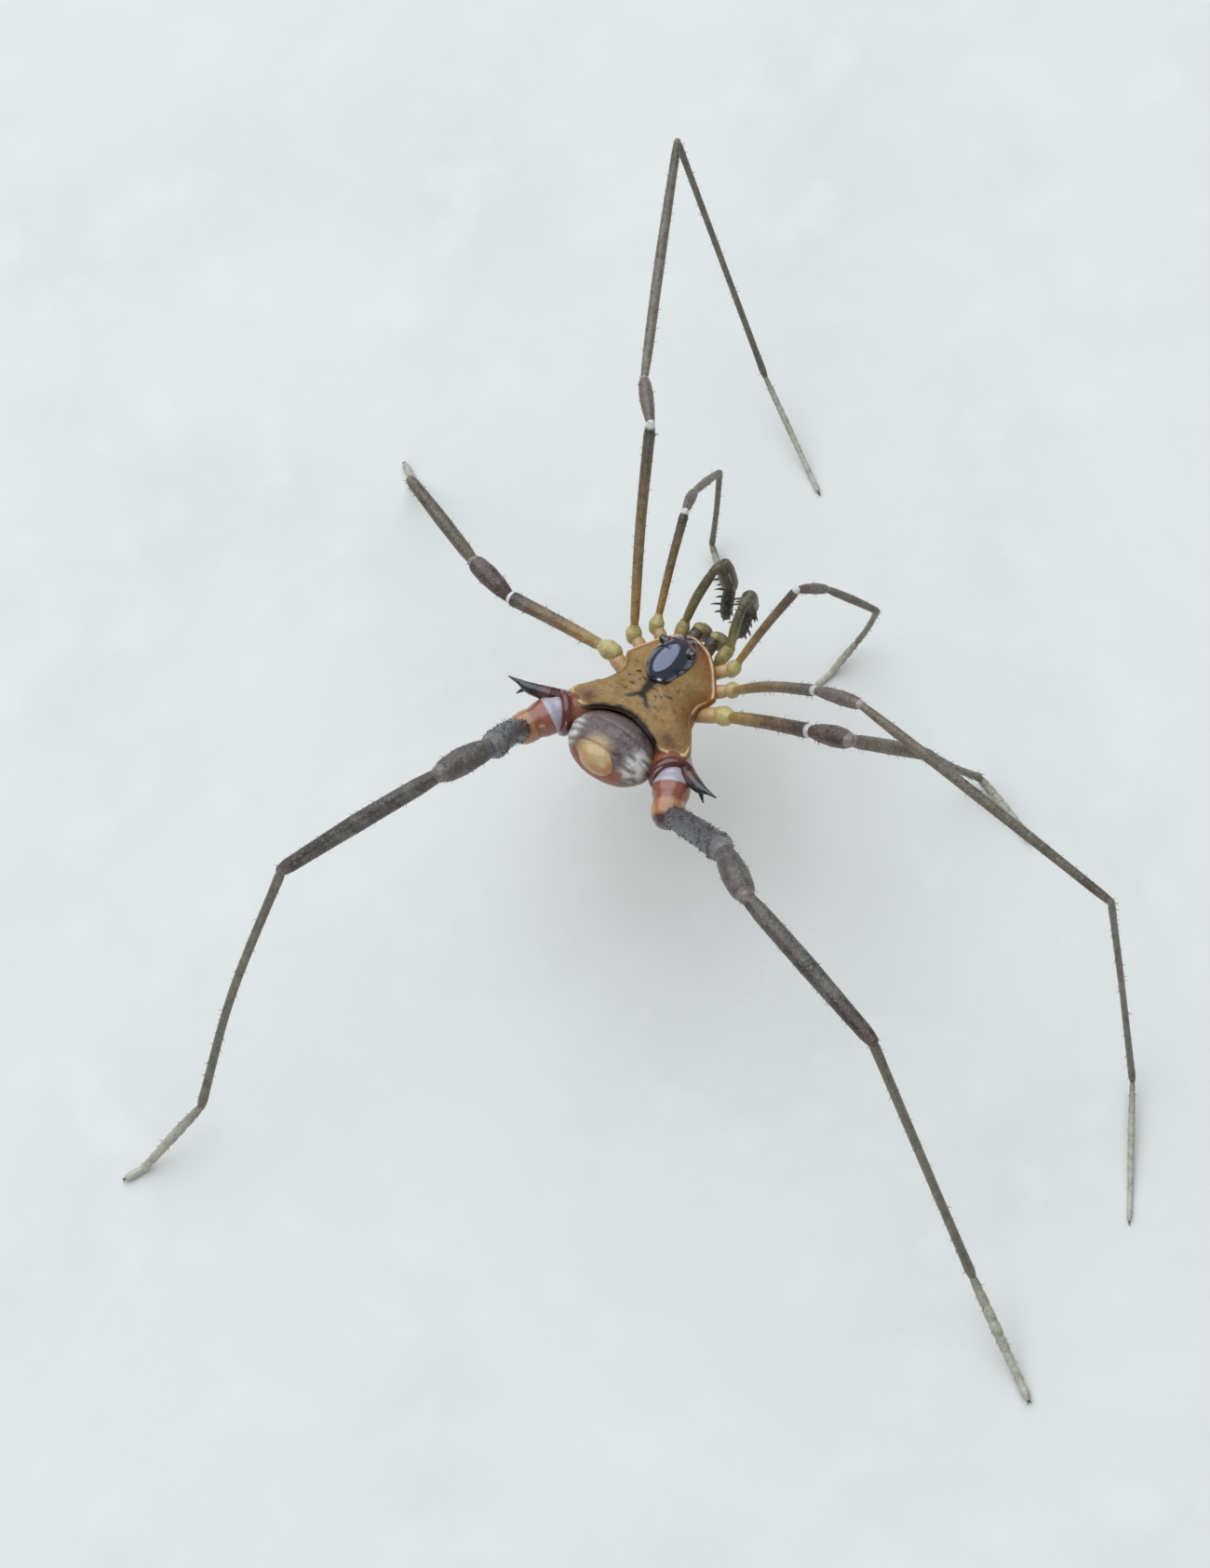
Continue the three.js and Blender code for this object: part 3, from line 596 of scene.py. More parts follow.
def turn_outward(mesh):
    edit = bmesh.new()
    edit.from_mesh(mesh)
    bmesh.ops.recalc_face_normals(edit, faces=edit.faces)
    edit.to_mesh(mesh)
    edit.free()
    smooth(mesh)


def smooth(mesh):
    mesh.polygons.foreach_set("use_smooth", [True] * len(mesh.polygons))


def set_mask(mesh, label, parts):
    kept = mesh.attributes.get(label) or mesh.attributes.new(label, "FLOAT", "POINT")
    kept.data.foreach_set("value", np.concatenate(parts).astype(np.float32))


def mask_of(mesh, label, missing):
    """A mesh's mask, or the given number all over where it has none of that name."""
    values = np.full(len(mesh.vertices), missing, np.float32)
    if label in mesh.attributes:
        mesh.attributes[label].data.foreach_get("value", values)
    return values


def merged(name, meshes):
    edit = bmesh.new()
    for mesh in meshes:
        edit.from_mesh(mesh)
    whole = bpy.data.meshes.new(name)
    edit.to_mesh(whole)
    edit.free()
    return whole


def joined(name, meshes):
    """Several skins as one mesh, with their UV map and masks kept."""
    whole = merged(name, meshes)
    for label in sorted({a.name for m in meshes for a in m.attributes if a.data_type == "FLOAT"}):
        set_mask(whole, label, [mask_of(mesh, label, 0.0) for mesh in meshes])
    smooth(whole)
    for mesh in meshes:
        bpy.data.meshes.remove(mesh)
    return whole


def show(name, mesh, finish, slot, *nodes):
    mesh.name = name
    piece = placed(name, mesh)
    mesh.materials.clear()
    mesh.materials.append(FINISHES[finish])
    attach(piece, "root")
    if nodes:
        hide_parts(*nodes)
    return piece


def smooth_path(points, tension=0.5, steps=16):
    """Points of a smooth curve through the given ones."""
    given = [Vector(p) for p in points]
    if len(given) == 2:
        return np.array(given)
    ends = [2 * given[0] - given[1], *given, 2 * given[-1] - given[-2]]
    path = []
    for i in range(1, len(ends) - 2):
        path += [hermite(ends[i - 1:i + 3], k / steps, tension) for k in range(steps)]
    return np.array([*path, given[-1]])


def bent(start, end, offset):
    """A smooth path whose middle is moved off the straight line."""
    return smooth_path([start, start.lerp(end, 0.5) + Vector(offset), end])


def hermite(four, share, tension):
    before, start, end, after = four
    leave, arrive = tension * (end - before), tension * (after - start)
    cubic = 2 * start - 2 * end + leave + arrive
    square = 3 * end - 3 * start - 2 * leave - arrive
    return cubic * share ** 3 + square * share ** 2 + leave * share + start


def tube(path, stations, sides=16, caps=(1.0, 1.0)):
    """Rings round a path; stations are pairs of distance along it and radius. The ends are rounded."""
    path = np.asarray(path, float)
    steps = np.linalg.norm(np.diff(path, axis=0), axis=1)
    travelled = np.concatenate([[0], np.cumsum(steps)])
    length = travelled[-1]
    stations = rounded_ends(stations, caps)
    if len(path) > 2:
        tangents = np.gradient(path, travelled, axis=0)
    else:
        tangents = np.repeat(np.diff(path, axis=0), 2, 0)
    tangents /= np.linalg.norm(tangents, axis=1)[:, None]
    side_way = np.cross(tangents[0], (0, 0, 1) if abs(tangents[0][2]) < 0.9 else (1, 0, 0))
    angles = np.linspace(0, 2 * np.pi, sides, endpoint=False)
    rings, shares = [], []
    for distance, radius in stations:
        inside = min(max(distance, 0), length)
        centre = np.array([np.interp(inside, travelled, path[:, a]) for a in range(3)])
        ahead = np.array([np.interp(inside, travelled, tangents[:, a]) for a in range(3)])
        ahead /= np.linalg.norm(ahead)
        centre = centre + ahead * (distance - inside)
        side_way = side_way - ahead * side_way.dot(ahead)
        side_way /= np.linalg.norm(side_way)
        other = np.cross(ahead, side_way)
        round_it = np.cos(angles)[:, None] * side_way + np.sin(angles)[:, None] * other
        rings.append(centre + round_it * radius)
        shares.append(inside / length)
    return np.array(rings), shares


def rounded_ends(stations, caps, steps=4):
    start, end = stations[0], stations[-1]
    turns = [math.radians(90 * (k + 1) / (steps + 1)) for k in range(steps)]
    first = [(start[0] - start[1] * caps[0] * math.cos(t), start[1] * math.sin(t)) for t in turns]
    last = [(end[0] + end[1] * caps[1] * math.cos(t), end[1] * math.sin(t)) for t in reversed(turns)]
    return [*first, *stations, *last]


def outline(shares, radius, length, count=30, waists=0):
    """Stations of a limb from its outline, with narrow waists where it has small joints."""
    spots, sizes = zip(*shares)
    made = []
    for k in range(count + 1):
        share = k / count
        size = np.interp(share, spots, sizes)
        if waists:
            phase = (share * waists) % 1.0
            size *= 1 - TARSUS_WAIST * bell(min(phase, 1 - phase), 0.12)
        made.append((share * length, size * radius))
    return made


def path_length(path):
    return float(np.linalg.norm(np.diff(path, axis=0), axis=1).sum())


def limb(name, path, shape, radius, count=30, sides=20):
    """A skin round a path, from its outline in shares of its length and of a radius."""
    return skin(name, *tube(path, outline(shape, radius, path_length(path), count), sides))


def all_round(shares, sides):
    """Each ring's share, for every point round it."""
    return np.repeat(np.array(shares)[:, None], sides, 1)


# Soft shapes for masks and for relief

def clamp(value):
    return max(0.0, min(1.0, value))


def bell(off, width):
    """1 where off is 0 and less and less to either side."""
    return math.exp(-(off / width) ** 2)


def oval(across, width, along, length):
    """1 in the middle of an oval and less and less away from it."""
    return math.exp(-((across / width) ** 2 + (along / length) ** 2))


def fade(value, low, high, soft=0.12):
    """1 between two values and 0 outside them, with soft ends."""
    return clamp((value - low) / soft) * clamp((high - value) / soft)


def band(values, low, high, soft):
    """The same as fade, for a whole array."""
    return np.clip((values - low) / soft, 0, 1) * np.clip((high - values) / soft, 0, 1)


# Bristles and granules, scattered over a surface

def scatter_tree(name, shape_of):
    """Geometry nodes that scatter one small shape over a mesh, standing on it and leaning one way."""
    numbers = {"Density": "F", "Length": "F", "Thickness": "F", "Seed": "I", "Lean": "V"}
    tree, given, out = group(name, {"Surface": "G", **numbers, "Where": "S", "Finish": "M"},
                             {"Pieces": "G"}, "GeometryNodeTree")
    place = node(tree, "ShaderNodeSeparateXYZ", Vector=node(tree, "GeometryNodeInputPosition").outputs[0])
    above_floor = step(tree, place.outputs["Z"], BARE_BELOW[0] * MM, BARE_BELOW[1] * MM)
    there = node(tree, "GeometryNodeInputNamedAttribute", {"data_type": "FLOAT"}, Name=given["Where"])
    thick = times(tree, times(tree, given["Density"], above_floor), there.outputs["Attribute"])
    points = node(tree, "GeometryNodeDistributePointsOnFaces", Mesh=given["Surface"],
                  Seed=given["Seed"], Density=thick)
    leaning = maths(tree, "ADD", points.outputs["Normal"], given["Lean"], "ShaderNodeVectorMath")
    turned = node(tree, "FunctionNodeAlignRotationToVector", {"axis": "Z"}, Vector=leaning)
    size = node(tree, "FunctionNodeRandomValue", {"data_type": "FLOAT"}, Seed=given["Seed"])
    size.inputs[2].default_value, size.inputs[3].default_value = COAT_SIZES
    copies = node(tree, "GeometryNodeInstanceOnPoints", Points=points.outputs["Points"],
                  Instance=shape_of(tree, given), Rotation=turned.outputs[0], Scale=size.outputs[1])
    real = node(tree, "GeometryNodeRealizeInstances", Geometry=copies.outputs[0])
    finished = node(tree, "GeometryNodeSetMaterial", Geometry=real.outputs[0], Material=given["Finish"])
    feed(tree, out["Pieces"], finished.outputs[0])
    return tree


def bristle_shape(tree, given):
    fine = times(tree, given["Thickness"], 0.2)
    cone = node(tree, "GeometryNodeMeshCone", Vertices=5, Radius_Top=fine, Radius_Bottom=given["Thickness"],
                Depth=given["Length"])
    return cone.outputs["Mesh"]


def granule_shape(tree, given):
    ball = node(tree, "GeometryNodeMeshUVSphere", Segments=8, Rings=5, Radius=given["Thickness"])
    ratio = maths(tree, "DIVIDE", given["Length"], given["Thickness"])
    tall = node(tree, "ShaderNodeCombineXYZ", X=1.0, Y=1.0, Z=ratio)
    sized = node(tree, "GeometryNodeTransform", Geometry=ball.outputs["Mesh"], Scale=tall.outputs[0])
    return sized.outputs[0]


def scatter(name, surfaces, tree, finish, slot, coat, seed, lean=(0, 0, 0), where="everywhere"):
    """Grows a coat of the tree's small pieces on finished surfaces, densest where the mask is highest."""
    density, length, thickness = coat
    meshes = [surface.data for surface in surfaces]
    mesh = merged(name, meshes)
    set_mask(mesh, "scatter", [mask_of(surface, where, 1.0) for surface in meshes])
    holder = placed(name, mesh)
    growth = holder.modifiers.new("growth", "NODES")
    growth.node_group = tree
    sockets = {i.name: i.identifier for i in tree.interface.items_tree if i.in_out == "INPUT"}
    values = {"Density": density / MM ** 2, "Length": length * MM, "Thickness": thickness * MM, "Seed": seed,
              "Lean": lean, "Where": "scatter", "Finish": FINISHES[finish]}
    for label, value in values.items():
        growth[sockets[label]] = value
    bpy.context.view_layer.update()
    grown = bpy.data.meshes.new_from_object(holder.evaluated_get(bpy.context.evaluated_depsgraph_get()))
    holder.modifiers.remove(growth)
    bpy.data.objects.remove(holder)
    smooth(grown)
    show(name, grown, finish, slot)


# Legs

def direction(sweep, rise, side):
    flat = math.cos(rise)
    return Vector((side * math.cos(sweep) * flat, math.sin(sweep) * flat, math.sin(rise)))


def leg_joints(leg, side):
    """Trochanter, the far end of each segment, then heel and toe of the foot that lies on the floor."""
    sweeps, rises = leg["left" if side < 0 else "right"]
    joints = [in_body(leg["trochanter"], side)]
    for sweep, rise, length in zip(sweeps, rises, leg["lengths"]):
        joints.append(joints[-1] + direction(math.radians(sweep), math.radians(rise), side) * length)
    shaft = leg["lengths"][4] - FOOT_LENGTH
    last_sweep = math.radians(sweeps[4])
    fall = math.asin((leg["foot"] - joints[4].z) / shaft)
    heel = joints[4] + direction(last_sweep, fall, side) * shaft
    heel.z = leg["foot"]
    return [*joints, heel, heel + direction(last_sweep, 0.0, side) * FOOT_LENGTH]


def bowed(start, end, bow):
    """A slightly arched path, its middle raised by a share of its length."""
    along = end - start
    level = along.cross(Vector((0, 0, 1)))
    lift = level.cross(along).normalized() if level.length > 1e-6 else Vector((0, 0, 1))
    middle = (start + end) / 2 + lift * (bow * along.length)
    return smooth_path([start, middle, end], steps=20)


def leg_segment(name, joints, leg, i):
    part = SEGMENTS[i]
    radius = leg["radii"][i]
    if part == "tarsus":
        path = smooth_path([joints[4], joints[4].lerp(joints[5], 0.5), joints[5], joints[6]], steps=20)
        path[:, 2] = np.maximum(path[:, 2], leg["foot"] * SOLE_SHARE)
        sizes = [(s, r * radius) for s, r in OUTLINES[part]] + [(s, r * leg["foot"]) for s, r in FOOT_OUTLINE]
        stations = outline(sizes, 1.0, path_length(path), TARSUS_RINGS, leg["articles"])
        return skin(name, *tube(path, stations, TARSUS_SIDES))
    rear_shin = part == "metatarsus" and "globe" in leg
    path = bowed(joints[i], joints[i + 1], REAR_SHIN_BOW if rear_shin else BOW[part])
    return limb(name, path, OUTLINES[part], radius, SEGMENT_RINGS, SEGMENT_SIDES)


def claw_meshes(joints, leg):
    toe, heel = joints[6], joints[5]
    ahead = (toe - heel).normalized()
    across = Vector((-ahead.y, ahead.x, 0))
    spread = [0.0] if leg["claws"] == 1 else [-0.5, 0.5]
    made = []
    for turn in spread:
        start = toe + ahead * leg["foot"] * 0.5
        bend = start + ahead * 0.12 + across * turn * 0.1 + Vector((0, 0, 0.03))
        tip = bend + ahead * 0.08 + across * turn * 0.08
        tip.z = CLAW_TIP_HEIGHT
        made.append(skin("claw", *tube(smooth_path([start, bend, tip]), CLAW_OUTLINE, 8)))
    return made


# Each segment's slot for the front legs and for the rear pair, and its finishes for legs 1 to 4
LIMB_SLOTS = {
    "femur": ("femur_yellow", "femur_slate"), "patella": ("knee_brown", "knee_brown"),
    "tibia": ("limb_olive", "limb_olive"), "metatarsus": ("limb_olive", "limb_olive"),
    "tarsus": ("tarsus_pale", "tarsus_pale"),
}
LIMB_FINISHES = {
    "femur": ("femur_front", "femur_front", "femur_third", "femur_rear"),
    "patella": ("patella", "patella", "patella_third", "patella_rear"),
    "tibia": ("tibia_front", "tibia_front", "tibia_front", "tibia_rear"),
    "metatarsus": ("metatarsus",) * 4, "tarsus": ("tarsus",) * 4,
}


def make_legs():
    for number, leg in LEGS.items():
        for side_name, side in SIDES:
            joints = leg_joints(leg, side)
            out = (joints[1] - joints[0]).normalized()
            chain = [joints[0] + out * leg["trochanter_radius"] * FEMUR_SEAT, *joints[1:]]
            tag = f"{side_name}_{number}"
            skins = []
            for i, part in enumerate(SEGMENTS):
                mesh = leg_segment(f"{part}_{tag}_skin", chain, leg, i)
                finish = LIMB_FINISHES[part][number - 1]
                slot = LIMB_SLOTS[part][number == 4]
                skins.append(show(f"{part}_{tag}_skin", mesh, finish, slot, f"{part}_{tag}"))
            outward = (joints[6] - joints[0]).normalized() * BRISTLE_LEAN
            scatter(f"bristles_{tag}", skins, BRISTLES, "bristle", "limb_olive", BRISTLE_COAT,
                    number, outward)
            if number == 4:
                scatter(f"tubercles_{tag}", skins[:1], GRANULES, "slate_granule", "femur_slate",
                        TUBERCLE_COAT, 5)
            show(f"claws_{tag}", joined("claws", claw_meshes(joints, leg)), "claw", "tarsus_pale")
            make_hip(leg, number, side, tag, out)


def make_hip(leg, number, side, tag, out):
    joint = in_body(leg["trochanter"], side)
    start = in_body(leg["coxa"], side)
    end = in_body(leg.get("coxa_end", leg["trochanter"]), side)
    coxa_path = bent(start, end, (0, 0, COXA_ARCH))
    length = path_length(coxa_path)
    first, middle, last = leg["coxa_radii"]
    if number == 4:
        shape = ((0, first), (0.4, middle), (0.85, last), (0.94, last * 1.06), (1, last * 1.02))
        rings, shares = tube(coxa_path, outline(shape, 1.0, length, 40), REAR_HIP_SIDES, (1.0, 0.12))
        rim = band(all_round(shares, REAR_HIP_SIDES), 0.82, 2, 0.08)
        parts = [skin("coxa", rings, shares, {"rim": rim})]
        parts += [rear_trochanter(leg, side, joint), *forked_spine(side)]
        show(f"hip_{tag}_skin", joined("hip", parts), "rear_hip", "hip_red", f"hip_{tag}")
        return
    shape = ((0, first), (0.4, middle), (0.75, last * 0.9), (0.85, last * 0.78), (1, last * 0.7))
    rings, shares = tube(coxa_path, outline(shape, 1.0, length), HIP_SIDES)
    parts = [skin("coxa", rings, shares, {"blush": np.full(rings.shape[:2], 0.75)})]
    radius = leg["trochanter_radius"]
    bead = np.array([joint - out * radius * 0.5, joint + out * radius * 1.05])
    parts.append(limb("bead", bead, HIP_BEAD, radius, 24, HIP_SIDES))
    show(f"hip_{tag}_skin", joined("hip", parts), "front_hip", "hip_pale", f"hip_{tag}")


def rear_trochanter(leg, side, joint):
    """A globe and a second lobe behind it, with a painted highlight in a pale arc where the globe leaves the
    coxa.
    """
    middle = in_body(leg["globe"], side)
    back = (joint - middle).normalized()
    spots = [spot for spot, size in REAR_TROCHANTER]
    path = np.array([middle + back * spots[0], middle + back * spots[-1]])
    total = spots[-1] - spots[0]
    shape = [((spot - spots[0]) / total, size) for spot, size in REAR_TROCHANTER]
    rings, shares = tube(path, outline(shape, 1.0, total, 60), REAR_HIP_SIDES, (0.9, 0.4))
    along = all_round(shares, REAR_HIP_SIDES) * total + spots[0]
    masks = {
        # the pale arc is a painted reflection
        "crescent": band(along, -9, 0.0, 0.08), "globe": band(along, -0.04, 0.66, 0.1),
        "lobe": band(along, 0.6, 1.42, 0.14), "edge": band(along, 1.36, 9, 0.08),
    }
    return skin("trochanter", rings, shares, masks)


def forked_spine(side):
    root, fork = in_body(SPINE["root"], side), in_body(SPINE["fork"], side)
    tips = [in_body(tip, side) for tip in SPINE["tips"]]
    thick, middle, prong, fine = SPINE["radii"]
    parts = []
    for i, tip in enumerate(tips):
        prong_middle = fork.lerp(tip, 0.5) + Vector((0, 0, 0.06))
        path = smooth_path([root, root.lerp(fork, 0.5), fork, prong_middle, tip])
        length = path_length(path)
        reach = (fork - root).length / length
        waist = (thick + middle) / 2
        at_fork = prong if i else middle
        shape = ((0, thick), (reach * 0.5, waist), (reach, at_fork), (0.85, prong * 0.55), (1, fine))
        rings, shares = tube(path, outline(shape, 1.0, length), SPINE["sides"])
        dark = np.clip((all_round(shares, SPINE["sides"]) - 0.3) / 0.2, 0, 1)
        parts.append(skin("spine", rings, shares, {"rim": 1 - dark, "spine": dark}))
    return parts


# Shield

def rim_curve():
    """A function that reads the shield's whole smooth rim by share of the way round."""
    half = [Vector(p) for p in SHIELD_RIM]
    other = [Vector((-p.x, p.y, p.z)) for p in reversed(half[1:-1])]
    knots = [*half, *other]
    count = len(knots)

    def read(share):
        spot = (share % 1.0) * count
        i = int(spot)
        four = [knots[(i + k) % count] for k in (-1, 0, 1, 2)]
        return hermite(four, spot - i, SHIELD["tension"])

    return read


def shield_height(x, y, spread, edge_height):
    rise = 1 - spread ** SHIELD["fall"]
    height = edge_height + (SHIELD["crown"] - edge_height) * rise
    for at, depth, width in SHIELD_GROOVES:
        height -= depth * bell(y - at + 0.12 * abs(x), width) * rise
    height += sum(rise_by * bell(spread - at, width) for rise_by, at, width in SHIELD_RIDGES)
    height += 0.03 * noise.noise(Vector((x * 2.5, y * 2.5, 4.0))) * rise
    return height


def dark_mark(x, y):
    """Dark forked line behind the eyes' mound, a faint line that runs out on each side, and specks."""
    stem = 1.4 * bell(x, 0.16 + 0.14 * max(0.0, y + 0.3)) * fade(y, -0.6, 0.5)
    fork = 1.4 * bell(abs(x) - max(0.0, -0.3 - y), 0.13) * fade(y, -0.88, -0.3, 0.16)
    torn = 0.5 + 1.4 * noise.noise(Vector((x * 5, y * 5, 3.0)))
    line = bell(y - 0.28 + 0.55 * abs(x), 0.035) * fade(abs(x), 0.25, 1.25) * 0.8 * torn
    speck = noise.noise(Vector((x * 4.2, y * 7.5, 1.7)))
    near = bell(abs(x) - 0.8, 0.6) * bell(y, 0.8)
    return min(1.0, max(stem, fork, line) + max(0.0, speck * 4.6 - 1.2) * near)


def rim_paint(edge, spread, patch):
    """How much of the dark rear border, and of the painted highlight along the rim's edge, lies at a place
    near the rim.
    """
    behind = clamp((-1.1 - edge.y) / 0.3)
    inner = clamp((2.15 - abs(edge.x)) / 0.4)
    border = behind * inner * clamp((spread - 0.87 + 0.05 * patch) / 0.06)
    share = 0.95 * behind * (1 - inner) + 1.3 * fade(edge.y, 1.3, 9) + 0.55 * fade(edge.y, 0.2, 1.1)
    # Painted highlight along the rim's edge, strongest at the front and at the outer rear corners.
    lip = bell(spread - 0.957, 0.02) * min(1.0, share) * (0.95 + 0.7 * patch)
    return border, clamp(lip)


def shield_masks(flat, edge, spread):
    """The paint masks at one place on the shield's upper side."""
    patch = noise.noise(Vector((flat.x * 3, flat.y * 3, 9.0)))
    outer = max(0.0, (spread - 0.7) / 0.3)
    warm = clamp((flat.y + 1.0) / 0.8)
    # Painted shade in the inner rear corners beside the abdomen, and a darker patch at the rim's waist.
    corner = oval(abs(flat.x) - 2.0, 0.42, flat.y + 1.45, 0.3)
    waist = oval(abs(flat.x) - 1.95, 0.22, flat.y - 0.3, 0.5)
    border, lip = rim_paint(edge, spread, patch)
    return {
        "margin": outer ** 0.9 * warm * (0.8 + 0.6 * patch) + max(0, flat.y - 1.4) * 0.2,
        "front": oval(flat.x, 0.95, flat.y - 3.0, 0.4) * 1.1,
        "corner": min(1.0, 0.75 * corner + 0.6 * waist), "mark": dark_mark(flat.x, flat.y),
        "rear": border, "lip": lip, "disc": 1.0 - outer,
    }


def make_shield():
    read = rim_curve()
    edges = [read(k / SHIELD_SIDES) for k in range(SHIELD_SIDES)]
    spreads = [math.sin(math.pi / 2 * (k + 1) / SHIELD_STEPS) for k in range(SHIELD_STEPS)]
    middle = Vector((*SHIELD["middle"], 0))
    top, bottom, painted = [], [], []
    for spread in spreads:
        upper, lower = [], []
        for edge in edges:
            reach = Vector((edge.x, edge.y, 0)) - middle
            flat = middle + reach * spread
            rim_foot = edge.z - SHIELD["rim_depth"]
            under = rim_foot + (SHIELD["base"] - edge.z) * (1 - spread ** SHIELD["fall"])
            upper.append(in_body((flat.x, flat.y, shield_height(flat.x, flat.y, spread, edge.z))))
            lower.append(in_body((flat.x, flat.y, under)))
            painted.append(shield_masks(flat, edge, spread))
        top.append(upper)
        bottom.append(lower)
    rings = np.array([*top, *reversed(bottom)])
    blank = [0.0] * len(painted)
    masks = {key: np.clip([spot[key] for spot in painted] + blank, 0, 1) for key in painted[0]}
    masks["margin"][len(painted):] = 0.8  # the whole under side
    mesh = skin("shield", rings, [*spreads, *reversed(spreads)], masks)
    shell = show("dorsal_scutum_skin", mesh, "shield", "shield", "dorsal_scutum")
    scatter("shield_rim_granules", [shell], GRANULES, "granule", "shield", RIM_COAT, 11, where="margin")
    scatter("shield_granules", [shell], GRANULES, "granule", "shield", DISC_COAT, 12, where="disc")


# Rounded parts of the body

def dome_ways():
    """Directions in rings from the front pole to the rear one."""
    for i in range(1, DOME_STEPS):
        polar = math.pi * i / DOME_STEPS
        flat = math.sin(polar)
        for k in range(DOME_SIDES):
            turn = 2 * math.pi * k / DOME_SIDES
            yield Vector((flat * math.cos(turn), math.cos(polar), flat * math.sin(turn)))


def make_dome(name, shape, swell, functions, finish, slot, node_name):
    """A rounded part that lies along the body; swell(direction) scales each point's distance."""
    ways = list(dome_ways())
    lean = Matrix.Rotation(math.radians(shape.get("tilt", 0.0)), 3, "X")
    points = []
    for way in ways:
        size = swell(way)
        reach = Vector([way[a] * shape["half"][a] * size for a in range(3)])
        points.append(in_body(Vector(shape["at"]) + lean @ reach))
    rings = np.array(points).reshape(-1, DOME_SIDES, 3)
    masks = {key: [clamp(function(way)) for way in ways] for key, function in functions.items()}
    shares = np.linspace(0, 1, len(rings)).tolist()
    show(name, skin(name, rings, shares, masks), finish, slot, node_name)


def fold_depth(way):
    """How deep in a fold between two back plates a point lies, from 0 to 1."""
    arch = way.y + 0.12 * way.x ** 2
    return max(bell(arch - at, 0.035) for at in ABDOMEN_FOLDS)


def make_abdomen():
    def place_of(way):
        return Vector(ABDOMEN["at"]) + Vector([way[a] * ABDOMEN["half"][a] for a in range(3)])

    def from_operculum(way):
        return (place_of(way) - Vector(OPERCULUM["at"])).length

    def swell(way):
        fold = fold_depth(way) * 0.035 if way.z > -0.3 else 0.0
        lateral = 0.012 * math.sin(way.y * 60) * max(0.0, abs(way.x) - 0.45)
        seat = 0.05 * math.exp(-from_operculum(way) ** 4)
        return 1 - fold - seat + lateral + 0.012 * noise.noise(way * 3.1)

    # Pale bars along the left flank; on the right flank the pale patch is a painted reflection.
    def flank(way):
        place = place_of(way)
        back = 0.2 if place.x > 0 else 0.0
        off = ((abs(place.x) - 1.55) / 0.42) ** 2 + ((place.y + 2.95 + back) / 0.7) ** 2
        off += ((place.z - 0.85) / 0.6) ** 2
        if place.x > 0:
            stripe = clamp(0.62 + 1.5 * noise.noise(Vector((way.x * 3, way.y * 9, way.z * 4))))
        else:
            stripe = 0.5 + 0.5 * math.sin(place.y * 21 + 2.5 * noise.noise(way * 3))
        return 1.5 * math.exp(-off ** 1.5) * (0.15 + 0.85 * stripe)

    def cream(way):
        return 1.1 * bell(from_operculum(way) - 0.85, 0.22) * clamp((0.35 - way.x) / 0.3)

    def plate(way):
        place = place_of(way)
        top = 0.62 + 0.3 * min(1.0, abs(place.x))
        return 1.3 * fade(from_operculum(way), 0.4, 1.3, 0.1) * clamp((top - place.z) / 0.15)

    def belly(way):
        return clamp((0.0 - place_of(way).z) / 0.2)

    def fold(way):
        return fold_depth(way) * 0.4 * max(0.0, way.z)

    masks = {"flank": flank, "cream": cream, "plate": plate, "fold": fold, "belly": belly}
    make_dome("free_tergites_skin", ABDOMEN, swell, masks, "abdomen", "abdomen", "free_tergites")


def make_operculum():
    def swell(way):
        seam = bell(way.z + 0.42, 0.05) * 0.05
        return 1 - seam + 0.01 * noise.noise(way * 3)

    def plate(way):
        return (-0.46 - way.z) / 0.06

    def lip(way):
        return bell(way.z + 0.36, 0.06) + bell(way.z + 0.93, 0.07)

    def pale(way):
        return (way.z - 0.35) / 0.5 + 0.6 * noise.noise(way * 2)

    masks = {"plate": plate, "lip": lip, "pale": pale}
    make_dome("anal_operculum_skin", OPERCULUM, swell, masks, "operculum", "operculum", "anal_operculum")


def make_underside():
    def creases(way):
        return max(bell(way.y - at, 0.02) for at in BELLY_CREASES)

    def swell(way):
        return 1 - 0.03 * creases(way) + 0.01 * noise.noise(way * 3)

    make_dome("underside_skin", UNDERSIDE, swell, {"fold": creases}, "under", "underside", "underside")


def make_mound():
    def swell(way):
        crest = 0.015 * bell(way.x, 0.4) * max(0.0, way.z)
        return 1 + crest + 0.006 * noise.noise(way * 2.4)

    def front(way):
        return (way.y - 0.25) / 0.4 + 0.5 * noise.noise(way * 3)

    make_dome("ocularium_skin", MOUND, swell, {"front": front}, "mound", "eye_mound", "ocularium")
    for side_name, side in SIDES:
        at = in_body(EYE_AT, side)
        out = (at - in_body((0, EYE_AT[1], EYE_AT[2] - 0.3))).normalized()
        path = np.array([at - out * EYE_RADIUS * 0.9, at + out * EYE_RADIUS * 0.35])
        rings, shares = tube(path, outline(EYE_OUTLINE, EYE_RADIUS, path_length(path), 24), EYE_SIDES)
        orbit = band(all_round(shares, EYE_SIDES), -1, 0.72, 0.04)
        mesh = skin("eye", rings, shares, {"orbit": orbit})
        show(f"eye_{side_name}_skin", mesh, "eye", "eye", f"eye_{side_name}")


def make_mouth():
    for side_name, side in SIDES:
        parts = []
        for key in ("base", "hand"):
            path = [in_body(point, side) for point in CHELICERA[key]]
            parts.append(limb(key, path, CHELICERA_OUTLINES[key], CHELICERA[f"{key}_radius"]))
        wrist = path[1]
        for tip in CHELICERA["fingers"]:
            end = in_body(tip, side)
            path = bent(wrist, end, (side * (tip[0] - 0.39) * 0.8, 0.03, 0))
            radius = CHELICERA["finger_radius"]
            parts.append(limb("finger", path, CHELICERA_OUTLINES["finger"], radius, sides=14))
        name = f"chelicera_{side_name}"
        show(f"{name}_skin", joined(name, parts), "mouth", "mouthparts", name)
        make_palp(side_name)


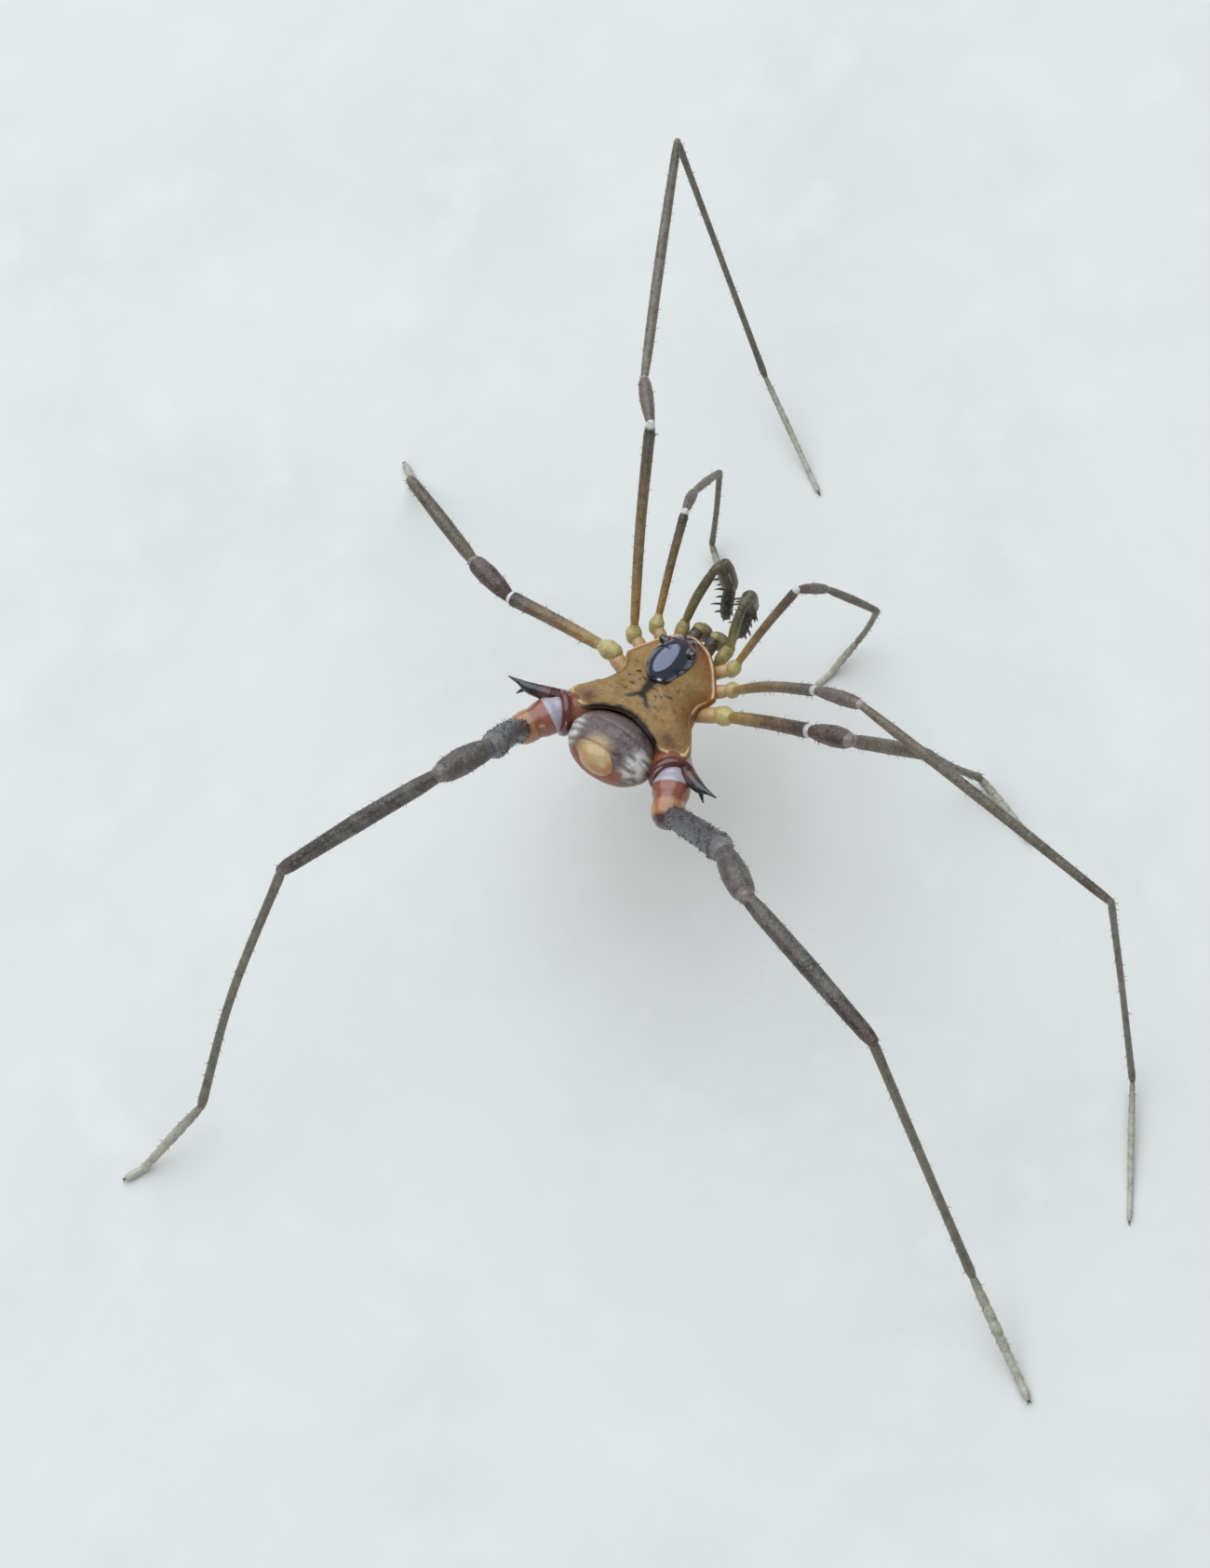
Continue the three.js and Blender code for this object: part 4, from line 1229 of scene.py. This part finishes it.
def make_palp(side_name):
    joints = [in_body(p) for p in PALPS[side_name]]
    parts = []
    total = sum((b - a).length for a, b in zip(joints, joints[1:]))
    done = 0.0
    for i, (start, end) in enumerate(zip(joints, joints[1:])):
        path = bowed(start, end, PALP_BOWS[i])
        length = path_length(path)
        rings, shares = tube(path, outline(PALP_OUTLINE, PALP_RADII[i], length, 24), 18)
        parts.append(skin("palp", rings, [(done + s * length) / total for s in shares]))
        done += length
        if i >= PALP_SPINE["first_segment"]:
            parts += palp_spines(start, end, PALP_RADII[i])
    last = joints[-1]
    claw_end = last + (last - joints[-2]).normalized() * 0.25 + Vector((0, -0.12, 0.08))
    claw_path = bent(last, claw_end, (0, 0.04, -0.04))
    claw_sizes = [(0, 0.09), (0.15, 0.06), (path_length(claw_path), 0.02)]
    parts.append(skin("claw", *tube(claw_path, claw_sizes, 10)))
    name = f"pedipalp_{side_name}"
    show(f"{name}_skin", joined("palp", parts), "mouth", "mouthparts", name)


def palp_spines(start, end, thick):
    """Pairs of spines under a palp segment, long and short by turns and longest in the middle."""
    along = end - start
    inner = Vector((0, -1, 0))
    inner = (inner - along * (inner.dot(along) / along.length_squared)).normalized()
    made = []
    for pair in range(PALP_SPINE["pairs"]):
        share = (pair + 0.6) / PALP_SPINE["pairs"]
        size = (0.75 + 0.35 * math.sin(math.pi * share)) * (PALP_SPINE["short"] if pair % 2 else 1.0)
        for turn in (-1, 1):
            spread = math.radians(turn * PALP_SPINE["spread"])
            out = Matrix.Rotation(spread, 3, along.normalized()) @ inner
            root = start + along * share + out * thick * 0.7
            tip = root + out * (PALP_SPINE["length"] * size + thick * 0.3) + along.normalized() * 0.06
            path = bent(root, tip, along.normalized() * -0.03)
            made.append(limb("spine", path, PALP_SPINE_OUTLINE, PALP_SPINE["radius"], 8, 8))
    return made


BRISTLES = scatter_tree("bristles", bristle_shape)
GRANULES = scatter_tree("granules", granule_shape)


def main():
    axes = add_camera()
    set_stage(*axes)
    make_finishes()
    make_shield()
    make_mound()
    make_abdomen()
    make_operculum()
    make_underside()
    make_mouth()
    make_legs()


main()
